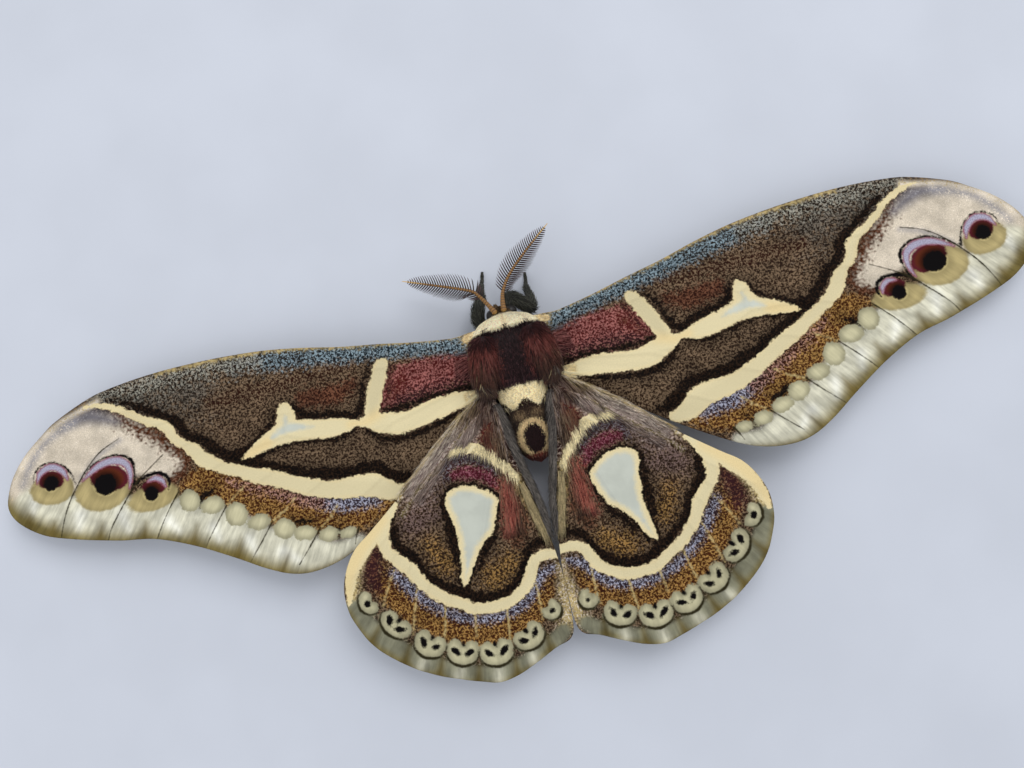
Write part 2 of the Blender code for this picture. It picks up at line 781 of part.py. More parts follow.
def settle_on_origin(parts):
    """Parents every piece to one empty that brings the bottom middle of their box to the origin."""
    corners = [vert.co for obj in parts.objects for vert in obj.data.vertices]
    low = [min(corner[axis] for corner in corners) for axis in range(3)]
    high = [max(corner[axis] for corner in corners) for axis in range(3)]
    base = bpy.data.objects.new("moth", None)
    base.location = (-(low[0] + high[0]) / 2, -(low[1] + high[1]) / 2, -low[2])
    bpy.context.scene.collection.objects.link(base)
    for obj in parts.objects:
        obj.parent = base


def main():
    clear_scene()
    random.seed(SEED)
    parts = new_collection("rothschildia_condor")
    cutters = new_collection("cutters")
    cutters.hide_render = True
    trunk_cutter = add_cutter("trunk_cutter", trunk_mesh(GAP), cutters)
    trunk = trunk_nodes(parts)
    palps(trunk["head"])
    eyes(trunk["head"], parts, cutters)
    wings(parts, trunk_cutter)
    legs(parts, trunk_cutter)
    feelers(parts, trunk_cutter)
    tegulae(parts, trunk_cutter)
    settle_on_origin(parts)


main()
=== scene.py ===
"""Looks of a Rothschildia condor silk moth at rest with its wings spread flat.

Forms are worked out in millimetres in the moth's own axes: the first number is the distance
out from the midline (the moth's left is positive), the second the distance behind the collar
("aft"), the third the height above the floor. SHIFT brings them into the frame of the solids.
"""

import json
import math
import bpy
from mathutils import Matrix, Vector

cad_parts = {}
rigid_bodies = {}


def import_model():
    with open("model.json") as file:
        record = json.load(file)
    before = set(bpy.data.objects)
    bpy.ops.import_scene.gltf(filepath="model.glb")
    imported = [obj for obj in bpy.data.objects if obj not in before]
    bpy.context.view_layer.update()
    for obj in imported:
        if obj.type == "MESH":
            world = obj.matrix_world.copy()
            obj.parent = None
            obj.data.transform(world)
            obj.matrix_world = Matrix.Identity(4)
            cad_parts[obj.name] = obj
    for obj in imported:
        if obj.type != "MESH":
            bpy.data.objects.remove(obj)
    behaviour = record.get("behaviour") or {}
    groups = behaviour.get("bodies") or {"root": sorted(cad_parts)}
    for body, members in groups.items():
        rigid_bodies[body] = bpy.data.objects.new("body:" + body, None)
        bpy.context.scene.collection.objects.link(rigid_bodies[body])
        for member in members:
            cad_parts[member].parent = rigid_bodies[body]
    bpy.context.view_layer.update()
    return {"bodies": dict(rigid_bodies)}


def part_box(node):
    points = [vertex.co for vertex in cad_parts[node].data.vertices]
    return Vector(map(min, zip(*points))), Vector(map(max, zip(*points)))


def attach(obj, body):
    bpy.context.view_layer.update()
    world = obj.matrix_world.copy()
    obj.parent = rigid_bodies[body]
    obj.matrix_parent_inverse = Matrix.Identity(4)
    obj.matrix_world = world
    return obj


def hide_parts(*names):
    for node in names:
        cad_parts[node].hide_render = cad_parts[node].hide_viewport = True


bl_info = {
    "name": "Silk Moth at Rest",
    "version": (1, 0, 0),
    "blender": (4, 5, 0),
    "location": "View3D > Sidebar > Moth",
    "description": "Wings, fur, feelers and legs of a silk moth over its solid frame",
    "category": "Add Mesh",
}

import bpy
import numpy as np
from bpy.props import FloatProperty, FloatVectorProperty, IntProperty, PointerProperty
from mathutils import Matrix, Vector, kdtree
from mathutils.geometry import delaunay_2d_cdt

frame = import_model()
BODY = next(iter(frame["bodies"]))

MM = 0.001
SIDES = {"left": 1.0, "right": -1.0}
THORAX_FRONT = 1.5
SHIFT = np.array((0.0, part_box("thorax")[0].y / MM - THORAX_FRONT, 0.0))
BAKE_MAP = "OFBake"
GOLDEN = (math.sqrt(5.0) - 1.0) / 2.0
FAR = 1000.0
TINY = 1e-9
# Most of a noise lies between these
NOISE_LOW = 0.3
NOISE_HIGH = 0.7
# First number of the random draws of each kind of piece
SEEDS = {
    "scales": 5, "skin": 11, "coat": 100, "tegula": 120, "forewing_hair": 140, "hindwing_hair": 150,
    "feeler": 160, "leg": 170, "palp": 190,
}


# Colours, lines and meshes

def tone(code):
    """Linear colour of a six-digit hexadecimal sRGB code."""
    parts = [int(code[place:place + 2], 16) / 255 for place in (0, 2, 4)]
    return tuple(p / 12.92 if p <= 0.04045 else ((p + 0.055) / 1.055) ** 2.4 for p in parts)


def colour(name, code, description):
    return FloatVectorProperty(
        name=name, description=description, subtype="COLOR", size=3, min=0.0, max=1.0, default=tone(code)
    )


def length(name, millimetres, description):
    size = millimetres * MM
    return FloatProperty(
        name=name, description=description, subtype="DISTANCE", unit="LENGTH", min=0.0, default=size
    )


def power(name, watts, description):
    return FloatProperty(name=name, description=description, subtype="POWER", default=watts)


def count(name, number, description):
    return IntProperty(name=name, description=description, min=1, default=number)


def unit(vectors):
    return vectors / np.maximum(np.linalg.norm(vectors, axis=-1, keepdims=True), TINY)


def smooth_step(t):
    t = np.clip(t, 0.0, 1.0)
    return t * t * (3.0 - 2.0 * t)


def rise(value, low, high):
    """0 below low, 1 above high and smooth between them."""
    return smooth_step((value - low) / (high - low))


def blend(base, other, weight):
    return base + (np.asarray(other) - base) * np.asarray(weight)[..., None]


def smooth_line(points, step, closed=False):
    """Rows about a step apart on a Catmull-Rom curve through the given rows."""
    points = np.array(points, float)
    if closed:
        ends = np.vstack((points[-1:], points, points[:2]))
    else:
        ends = np.vstack((points[:1], points, points[-1:]))
    rows = []
    for before, start, end, after in zip(ends, ends[1:], ends[2:], ends[3:]):
        pieces = max(1, round(float(np.linalg.norm((end - start)[:2])) / step))
        t = (np.arange(pieces) / pieces)[:, None]
        bent = (2 * before - 5 * start + 4 * end - after) * t**2
        twisted = (3 * start - 3 * end + after - before) * t**3
        rows.append((2 * start + (end - before) * t + bent + twisted) / 2)
    if not closed:
        rows.append(points[-1:])
    return np.vstack(rows)


def nearest_of(points, others):
    """Index of the nearest of the others, and the distance to it, for each point."""
    tree = kdtree.KDTree(len(others))
    for index, other in enumerate(others):
        tree.insert(Vector((*other, 0.0)[:3]), index)
    tree.balance()
    found = [tree.find(Vector((*point, 0.0)[:3])) for point in points]
    return np.array([index for _, index, _ in found]), np.array([away for _, _, away in found])


def sampled(rows, places, at):
    """Rows of a table at places between its own."""
    return np.column_stack([np.interp(at, places, column) for column in rows.T])


def at_share(table, share):
    """Value at a share of the way, from rows of (share, value)."""
    places, values = zip(*table)
    return np.interp(share, places, values)


def golden(number):
    """Shares of a turn that leave no gap, however many there are."""
    return (np.arange(number) * GOLDEN) % 1.0


def mirrored(point, sign):
    return np.array((sign * point[0], *point[1:]))


def plain(points, tint):
    """One opaque colour for all points."""
    return np.tile((*tint, 1.0), (len(points), 1))


def inset(share, edge=0.02):
    """A share of the way over the bake map, kept off its edges."""
    return edge + (1.0 - 2.0 * edge) * share


def new_piece(name, points, faces, material, uv, **attributes):
    """A mesh object from millimetre points and triangles, with its bake map and attributes."""
    mesh = bpy.data.meshes.new(name)
    mesh.vertices.add(len(points))
    mesh.vertices.foreach_set("co", ((points + SHIFT) * MM).astype(np.float32).ravel())
    mesh.loops.add(faces.size)
    mesh.loops.foreach_set("vertex_index", faces.astype(np.int32).ravel())
    mesh.polygons.add(len(faces))
    mesh.polygons.foreach_set("loop_start", np.arange(0, faces.size, 3, dtype=np.int32))
    mesh.update(calc_edges=True)
    corners = uv if len(uv) == faces.size else uv[faces.ravel()]
    layer = mesh.uv_layers.new(name=BAKE_MAP)
    layer.data.foreach_set("uv", corners.astype(np.float32).ravel())
    kinds = {0: ("FLOAT", "value"), 3: ("FLOAT_VECTOR", "vector"), 4: ("FLOAT_COLOR", "color")}
    for key, values in attributes.items():
        kind, field = kinds[values.shape[1] if values.ndim == 2 else 0]
        made = mesh.attributes.new(key, kind, "POINT")
        made.data.foreach_set(field, values.astype(np.float32).ravel())
    mesh.shade_smooth()
    mesh.materials.append(bpy.data.materials[material])
    piece = bpy.data.objects.new(name, mesh)
    bpy.context.scene.collection.objects.link(piece)
    return piece


def hand_over(piece, slot, *nodes):
    """Gives a finished piece to the frame: what it rides on and the solids it replaces. Its slot is not used.
    """
    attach(piece, BODY)
    if nodes:
        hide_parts(*nodes)
    return piece


class Paint:
    """Short calls that add nodes to a new material and join them."""

    def __init__(self, name):
        self.material = bpy.data.materials.new(name)
        self.material.use_nodes = True
        self.tree = self.material.node_tree
        self.surface = self.tree.nodes["Principled BSDF"]

    def feed(self, socket, value):
        if isinstance(value, bpy.types.NodeSocket):
            self.tree.links.new(value, socket)
        elif hasattr(value, "__len__") and len(value) == 3 and socket.type == "RGBA":
            socket.default_value = (*value, 1.0)
        else:
            socket.default_value = value

    def node(self, kind, sockets=(), **settings):
        made = self.tree.nodes.new("ShaderNode" + kind)
        for key, value in settings.items():
            setattr(made, key, value)
        for place, value in dict(sockets).items():
            self.feed(made.inputs[place], value)
        return made

    def attribute(self, name, output="Fac"):
        return self.node("Attribute", attribute_name=name).outputs[output]

    def place(self):
        """The point on the surface in millimetres."""
        point = self.node("TexCoord").outputs["Object"]
        return self.node("VectorMath", {0: point, 3: 1.0 / MM}, operation="SCALE").outputs[0]

    def noise(self, vector, scale, detail=2.0, roughness=0.5, distortion=0.0):
        sockets = {"Vector": vector, "Scale": scale, "Detail": detail, "Roughness": roughness}
        sockets["Distortion"] = distortion
        return self.node("TexNoise", sockets).outputs[0]

    def math(self, operation, first, second=0.0, third=0.0):
        return self.node("Math", {0: first, 1: second, 2: third}, operation=operation).outputs[0]

    def ramp(self, value, low, high, start=0.0, end=1.0):
        sockets = {0: value, 1: low, 2: high, 3: start, 4: end}
        return self.node("MapRange", sockets, interpolation_type="SMOOTHSTEP").outputs[0]

    def vary(self, noise, low, high):
        """A noise stretched to factors between low and high."""
        return self.ramp(noise, NOISE_LOW, NOISE_HIGH, low, high)

    def mix(self, factor, first, second, blend_type="MIX"):
        sockets = {0: factor, 6: first, 7: second}
        return self.node("Mix", sockets, data_type="RGBA", blend_type=blend_type).outputs[2]

    def shade(self, base, factor):
        """A colour made lighter or darker by a factor."""
        return self.node("VectorMath", {0: base, 3: factor}, operation="SCALE").outputs[0]

    def bump(self, height, millimetres, strength=1.0):
        sockets = {"Height": height, "Distance": millimetres * MM, "Strength": strength}
        made = self.node("Bump", sockets)
        self.feed(self.surface.inputs["Normal"], made.outputs[0])

    def finish(self, base, roughness, **constants):
        self.feed(self.surface.inputs["Base Color"], base)
        self.feed(self.surface.inputs["Roughness"], roughness)
        for key, value in constants.items():
            self.surface.inputs[key.replace("_", " ")].default_value = value
        return self.material


# Sizes and colours that a user may change

class MothWingColours(bpy.types.PropertyGroup):
    black: colour("Black", "080506", "Lines beside the pale bands and round the windows")
    cream: colour("Cream", "ded0a6", "Pale bands, bars and window frames")
    honey: colour("Honey", "e4cd98", "Warm tint of the cream at its edges and along the hindwing's front")
    window: colour("Window", "bec1b5", "Clear grey membrane of the windows")
    shell: colour("Shell", "c6bf9b", "Rounded spots before the forewing's margin")
    ring: colour("Ring", "ab9b6c", "Olive ring round each eyespot")
    rust: colour("Rust", "4e2110", "Red-brown inside each eyespot")
    lilac: colour("Lilac", "aaa5b8", "Pale crescent of each eyespot")
    ink: colour("Ink", "080506", "Pupils, outlines and marks")
    brown: colour("Brown", "281a10", "Ground of the wing's middle")
    tan: colour("Tan", "77624c", "Scales sprinkled on the brown")
    dusk: colour("Dusk", "231c16", "Ground of the outer middle")
    ash: colour("Ash", "6e665b", "Scales sprinkled on the dusk")
    umber: colour("Umber", "2c130a", "Ground of the red-brown patch")
    brick: colour("Brick", "6a4431", "Scales sprinkled on the umber")
    wine: colour("Wine", "4a1816", "Ground of the base of the forewing")
    rose: colour("Rose", "99605a", "Scales sprinkled on the wine")
    slate: colour("Slate", "181e22", "Ground of the front edge")
    frost: colour("Frost", "82939b", "Scales sprinkled on the slate")
    pebble: colour("Pebble", "9d9a8d", "Scales sprinkled at the outer front edge")
    chestnut: colour("Chestnut", "3f1e09", "Ground of the orange-brown band")
    amber: colour("Amber", "a07a43", "Scales sprinkled on the chestnut")
    night: colour("Night", "2a2028", "Ground of the blue speckled band")
    ice: colour("Ice", "a0a1b2", "Scales sprinkled on the night")
    beige: colour("Beige", "cdc0ac", "Ground of the wing tip")
    copper: colour("Copper", "a97f72", "Scales sprinkled on the umber along the band")
    milk: colour("Milk", "dccfbc", "Scales sprinkled on the beige")
    smoke: colour("Smoke", "6f6b70", "Grey cloud at the wing tip")
    mist: colour("Mist", "918e92", "Scales sprinkled on the smoke")
    # Pale margin; on the hindwing also the painted highlights on the crests of its folds
    ivory: colour("Ivory", "d0ccb6", "Pale margin")
    # Painted highlight on the crests of the margin's folds, over its pale scales
    chalk: colour("Chalk", "eae8da", "Crests of the folds in the margin")
    # The margin's own olive edge, also used for painted shade in its folds
    olive: colour("Olive", "5f5128", "Outer edge of the margin and its folds")
    khaki: colour("Khaki", "75683c", "Scales sprinkled on the olive")
    straw: colour("Straw", "b8a26f", "Thin pale edge along the front")
    crimson: colour("Crimson", "4a141f", "Red arc of the hindwing")
    blush: colour("Blush", "8e5560", "Scales sprinkled on the crimson")
    mouse: colour("Mouse", "735e58", "Grey root of the hindwing")
    dove: colour("Dove", "b1a196", "Scales sprinkled on the mouse grey")
    plum: colour("Plum", "32181a", "Dark cloud at the hindwing's corner")
    russet: colour("Russet", "62231c", "Ground of the red hair at the inner side of the hindwing")
    clay: colour("Clay", "a05c4d", "Scales sprinkled on the russet")
    pencil: colour("Pencil", "2b2614", "Soft dark lines in the margins")
    sage: colour("Sage", "7d7b66", "Margin of the hindwing")
    # Scales for the painted highlights on the crests of the hindwing margin's folds
    lichen: colour("Lichen", "a5a28d", "Crests in the margin of the hindwing")
    under: colour("Underside", "8d7763", "Paler, duller tint of the underside")


class MothFurColours(bpy.types.PropertyGroup):
    collar: colour("Collar", "fff4d0", "Cream plush of the collar")
    collar_shade: colour("Collar shade", "fde8b6", "Deeper cream low on the collar")
    black_brown: colour("Black-brown", "200f0f", "Middle of the thorax")
    # Painted sheen: lighter strands that stand in for the gloss of the dark fur, in the middle of the thorax,
    # on the flaps and on the feeler combs
    sheen: colour("Sheen", "503437", "Lighter strands in the middle of the thorax")
    maroon: colour("Maroon", "57241f", "Sides of the thorax and the wing flaps")
    maroon_light: colour("Light maroon", "94564d", "Lighter strands of the maroon fur")
    waist: colour("Waist", "f2dba2", "Cream band behind the thorax")
    waist_light: colour("Light waist", "fff2cc", "Lighter strands of the cream band")
    abdomen: colour("Abdomen", "1d120e", "Dark brown of the abdomen")
    abdomen_light: colour("Light abdomen", "523d2e", "Lighter strands of the abdomen")
    ring: colour("Ring", "d2b284", "Tan ring on the abdomen")
    tail: colour("Tail", "5e231a", "Red-brown sides and tip of the abdomen")
    brow: colour("Brow", "4a3522", "Fur of the head")
    brow_light: colour("Light brow", "8b7150", "Lighter strands of the head")
    grey: colour("Grey", "7d756d", "Long hair at the root of the hindwing")
    buff: colour("Buff", "c0aa80", "Buff hair at the root of the hindwing")
    khaki_hair: colour("Khaki hair", "857a5a", "Drab hair at the inner edge of the hindwing")
    pitch: colour("Pitch", "2b2725", "Dark hair at the inner edge of the hindwing")
    belly: colour("Belly", "5f4a3c", "Fur of the underside")
    leg: colour("Leg", "2a2a26", "Dark fur of the legs")
    leg_light: colour("Light leg", "66655a", "Grey strands of the legs")
    shaft: colour("Shaft", "8a6330", "Feeler's shaft")
    shaft_dark: colour("Dark shaft", "3a2013", "Joints of the feeler's shaft")
    shaft_tip: colour("Shaft tip", "d0aa68", "Bare tip of the feeler")
    comb: colour("Comb", "32241f", "Side branches of the feelers")
    eye: colour("Eye", "0b0706", "Eyeballs")


class MothSizes(bpy.types.PropertyGroup):
    membrane: length("Membrane", 0.11, "Thickness of the wings")
    vein_rise: length("Vein rise", 0.13, "Height of the veins on the wings")
    forewing_lattice: length("Forewing lattice", 0.21, "Size of the triangles of the forewings")
    hindwing_lattice: length("Hindwing lattice", 0.17, "Size of the triangles of the hindwings")
    hair_width: length("Hair width", 0.085, "Width of one tuft of body hair")
    eye_radius: length("Eye radius", 0.7, "Radius of the eyeballs")
    comb_branches: count("Comb branches", 31, "Side branches on each side of a feeler")


class MothStage(bpy.types.PropertyGroup):
    floor: colour("Floor", "c9cdd6", "Plain pale floor")
    lens: FloatProperty(name="Lens", description="Focal length of the camera in millimetres", default=31.29)
    camera_height: length("Camera height", 99.37, "Height of the camera over the floor")
    camera_out: FloatProperty(
        name="Camera out", description="Camera's place across the moth", subtype="DISTANCE",
        default=-0.35 * MM,
    )
    camera_aft: length("Camera aft", 16.08, "Camera's place behind the collar")
    camera_turn: FloatProperty(
        name="Camera turn", description="Turn of the picture", subtype="ANGLE", default=math.radians(14.95)
    )
    key: power("Key light", 0.9, "Power of the main light")
    fill: power("Fill light", 0.3, "Power of the second light")
    sky: FloatProperty(name="Sky", description="Strength of the even light all round", default=0.68)


# Wings: edges and veins as (out, aft), bands as (out, aft, half width)

WING_SPAN = 57.0
WING_ROOT_HEIGHT = 5.2
WING_DROOP = (0.9, 1.2)
HINDWING_LIFT = 0.75
HINDWING_FALL = 1.45
HINDWING_FALL_FROM = 20.8
HINDWING_REAR = 36.8
SPREAD_LEVEL = 4.5
SPREAD_REACH = 94.9
HINDWING_PIVOT = (3.5, 6.0)
HINDWING_TURN = {"left": 2.3, "right": -2.3}
VEIN_HALF_WIDTH = 0.34
MEMBRANE_SAG = 0.14
SAG_REACH = 2.2
MARGIN_WIDTH = 5.5
MARGIN_SAG = 1.6
RIPPLE = 0.06
RIPPLE_PITCH = 3.1
CLEARANCE = 0.42
BAND_STEP = 0.5
VEIN_STEP = 1.0

UNDER_RIDGE = 0.4
# Depths in the noise of a side's upper face and of the lower face under it
CHART_DEPTH = 5.0
UNDER_DEPTH = 20.0


def alike(softness, ground, over, density, *lines):
    """Clouds that differ only in their lines."""
    return tuple((line, softness, ground, over, density) for line in lines)


FOREWING_EDGE = (
    (2.0, 0.7), (6.0, 0.3), (10.0, -0.4), (14.0, -1.3), (18.0, -2.1), (22.0, -3.1), (26.0, -3.9),
    (30.0, -4.4), (34.0, -4.7), (38.0, -4.8), (42.0, -4.6), (46.0, -4.0), (50.0, -2.5), (52.0, -1.3),
    (54.0, 0.2), (55.6, 2.0), (56.5, 3.7), (56.9, 5.3), (56.4, 6.8), (55.0, 8.3), (53.0, 9.6), (50.0, 10.7),
    (46.0, 11.9), (42.0, 12.8), (38.0, 14.6), (34.0, 17.0), (31.0, 18.95), (28.5, 20.15), (26.0, 20.5),
    (23.0, 20.0), (20.0, 18.6), (15.0, 15.3), (10.0, 11.5), (6.0, 8.8), (2.0, 6.4),
)
FOREWING_VEINS = (
    ((3.0, 1.7), (14.0, -0.2), (26.0, -2.7), (36.0, -3.6), (44.5, -3.4)),
    ((3.0, 3.1), (14.0, 1.3), (26.0, -0.8), (38.0, -1.5), (49.5, -1.6)),
    ((26.0, -0.8), (34.0, 0.2), (43.5, 1.2)),
    ((25.0, 3.3), (32.0, 2.9), (39.2, 4.2)),
    ((25.6, 5.6), (32.0, 6.3), (38.3, 8.4)),
    ((20.5, 7.2), (28.0, 9.0), (33.7, 11.3)),
    ((14.0, 7.2), (22.0, 10.8), (29.3, 14.2)),
    ((3.0, 4.8), (14.0, 7.2), (20.5, 7.2), (25.6, 5.6), (25.0, 3.3)),
    ((3.0, 6.2), (12.0, 10.0), (20.0, 14.3), (24.5, 16.2)),
)
# Thin dark lines where the veins cross the pale margin
FOREWING_THREADS = (
    ((43.5, 1.2, 0.05), (46.0, 2.2, 0.06), (48.3, 4.2, 0.08), (50.5, 7.0, 0.07), (52.0, 10.2, 0.04)),
    ((39.2, 4.2, 0.05), (41.2, 5.4, 0.06), (43.0, 6.7, 0.08), (46.0, 10.0, 0.07), (47.0, 11.6, 0.04)),
    ((38.3, 8.4, 0.08), (40.0, 10.3, 0.07), (41.8, 12.8, 0.04)),
    ((33.7, 11.3, 0.08), (35.4, 13.2, 0.06), (37.1, 15.3, 0.03)),
    ((29.3, 14.2, 0.08), (30.8, 15.9, 0.06), (32.6, 17.8, 0.03)),
    ((24.5, 16.2, 0.08), (26.0, 17.8, 0.06), (27.6, 19.4, 0.03)),
    ((20.5, 17.2, 0.12), (20.9, 17.9, 0.08), (21.3, 18.8, 0.03)),
)
FOREWING_BANDS = {
    "black": (
        ((15.3, 0.9, 0.12), (16.3, 2.3, 0.22), (16.9, 3.9, 0.3), (17.4, 5.2, 0.4), (18.4, 5.6, 0.42)),
        ((18.4, 5.5, 0.4), (20.0, 4.9, 0.42), (22.0, 4.55, 0.42), (23.4, 4.1, 0.48), (24.1, 3.2, 0.34),
         (24.4, 2.5, 0.1)),
        ((26.4, 2.7, 0.05), (26.9, 3.9, 0.2), (28.4, 4.9, 0.2), (30.2, 5.9, 0.35), (31.6, 6.3, 0.6)),
        ((18.2, 6.9, 0.2), (20.5, 7.5, 0.22), (23.0, 7.1, 0.2), (26.0, 6.6, 0.2), (28.5, 6.9, 0.28),
         (31.0, 7.2, 0.5)),
        ((7.4, 8.2, 0.12), (9.5, 8.75, 0.3), (12.0, 9.15, 0.36), (14.0, 9.25, 0.36), (16.0, 8.6, 0.35),
         (17.2, 7.5, 0.25)),
        ((5.0, 5.9, 0.2), (9.0, 5.75, 0.2), (13.0, 6.1, 0.25), (15.2, 5.7, 0.2)),
        ((13.6, 13.4, 0.3), (14.8, 13.2, 0.65), (15.9, 12.6, 0.7), (17.1, 11.5, 0.6), (18.8, 11.3, 0.6),
         (21.0, 11.2, 0.6), (24.0, 10.4, 0.6), (25.6, 9.8, 0.6), (27.6, 8.7, 0.6), (29.8, 7.6, 0.6),
         (31.3, 6.8, 0.65), (32.8, 5.8, 0.6), (34.0, 4.6, 0.6), (34.7, 3.7, 0.5), (36.1, 2.9, 0.5),
         (36.7, 1.6, 0.5), (37.6, 0.5, 0.5), (39.1, -0.5, 0.45), (40.5, -1.4, 0.35), (42.0, -2.5, 0.25),
         (43.6, -3.1, 0.12)),
        ((25.4, 15.3, 0.2), (26.4, 15.1, 0.35), (27.2, 14.6, 0.2)),
        ((35.0, 9.4, 0.2), (36.2, 9.8, 0.4), (36.6, 10.8, 0.15)),
        ((22.2, 16.3, 0.12), (22.7, 16.9, 0.16), (22.9, 17.6, 0.06)),
    ),
    "cream": (
        ((13.95, 1.05, 0.75), (14.65, 2.3, 0.85), (15.3, 3.6, 0.85), (16.2, 5.7, 0.8)),
        ((4.4, 6.9, 0.35), (6.5, 6.95, 0.8), (8.0, 7.05, 1.0), (10.0, 7.3, 1.08), (12.0, 7.6, 1.08),
         (13.8, 7.6, 1.15), (15.4, 7.1, 1.1), (16.6, 6.6, 0.85), (17.8, 6.5, 0.3)),
        ((17.6, 6.5, 0.25), (18.6, 6.4, 0.45), (20.2, 6.3, 0.95), (22.0, 6.0, 1.05), (24.0, 5.55, 1.1),
         (25.6, 5.3, 1.25), (27.0, 5.6, 0.95), (28.6, 6.1, 0.7), (29.9, 6.6, 0.42), (31.0, 6.95, 0.08)),
        ((25.6, 5.0, 1.2), (25.4, 3.9, 1.0), (25.35, 3.1, 0.8), (25.25, 2.55, 0.38)),
        ((14.9, 14.6, 0.6), (16.4, 14.3, 1.0), (18.0, 13.3, 1.25), (20.0, 12.9, 1.1), (22.0, 12.7, 0.95),
         (24.0, 12.0, 0.95), (26.0, 11.0, 0.85), (28.0, 9.9, 0.85), (30.0, 9.0, 0.8), (31.8, 8.0, 0.65),
         (33.6, 7.0, 0.65), (35.0, 5.9, 0.85), (35.8, 4.7, 0.75), (36.75, 3.7, 0.5), (37.7, 2.8, 0.55),
         (38.0, 1.8, 0.6), (38.8, 0.9, 0.56), (39.9, 0.3, 0.46), (41.1, -0.5, 0.4), (42.2, -1.4, 0.36),
         (43.35, -2.2, 0.34), (44.9, -2.9, 0.28), (46.5, -3.2, 0.1)),
    ),
    "window": (
        ((22.6, 5.6, 0.0), (24.2, 5.2, 0.35), (25.7, 5.0, 0.45), (27.3, 5.6, 0.1)),
        ((25.6, 5.0, 0.35), (25.4, 3.7, 0.1)),
    ),
    "ink": (
        ((43.4, 6.95, 0.08), (42.7, 6.45, 0.14), (41.9, 6.05, 0.2), (40.6, 5.9, 0.22), (39.5, 6.4, 0.24),
         (39.2, 7.2, 0.16), (39.5, 8.0, 0.06)),
        ((49.2, 4.9, 0.06), (48.5, 4.4, 0.07), (47.5, 3.6, 0.11), (46.4, 3.03, 0.13), (45.1, 2.78, 0.15),
         (43.7, 3.05, 0.16), (42.75, 3.8, 0.18), (42.7, 5.4, 0.14), (43.2, 7.0, 0.12)),
        ((53.7, 3.6, 0.02), (53.35, 2.4, 0.07), (52.3, 1.72, 0.09), (51.1, 1.78, 0.12), (50.0, 2.6, 0.12),
         (49.35, 3.8, 0.1), (49.2, 4.8, 0.1)),
    ),
    "lilac": (
        ((41.6, 6.6, 0.12), (40.6, 6.4, 0.34), (39.85, 6.95, 0.32), (39.7, 7.6, 0.14)),
        ((48.5, 4.7, 0.1), (47.4, 4.0, 0.3), (46.3, 3.5, 0.42), (45.1, 3.32, 0.46), (44.0, 3.55, 0.48),
         (43.3, 4.2, 0.42), (43.15, 5.4, 0.32), (43.6, 6.8, 0.12)),
        ((53.3, 3.6, 0.1), (52.85, 2.65, 0.34), (52.0, 2.2, 0.42), (51.1, 2.28, 0.42), (50.25, 3.05, 0.38),
         (49.95, 4.1, 0.14)),
    ),
}
# Ovals as (out, aft, half length, half width, turn in degrees)
FOREWING_SPOTS = {
    "shell": (
        (21.7, 17.45, 0.95, 0.6, 5), (23.8, 17.1, 1.05, 0.8, 0), (26.2, 16.3, 1.3, 0.78, -10),
        (28.25, 15.3, 1.2, 1.05, -20), (30.8, 13.9, 1.3, 0.88, 0), (32.9, 12.5, 1.2, 1.32, 0),
        (35.2, 10.9, 1.35, 0.95, 0), (37.5, 9.8, 1.15, 1.22, 0),
    ),
    "ring": ((41.3, 8.4, 2.9, 1.4, 2), (46.5, 6.3, 3.0, 2.1, -4), (51.8, 4.6, 2.45, 1.7, -8)),
    "rust": ((41.0, 7.3, 1.3, 0.85, -10), (45.5, 5.1, 2.1, 1.45, -18), (51.7, 3.6, 1.4, 1.05, -10)),
    "ink": ((41.4, 7.95, 0.78, 0.78, 40), (46.0, 5.65, 1.25, 1.12, -10), (51.8, 3.95, 0.8, 0.8, 0)),
}
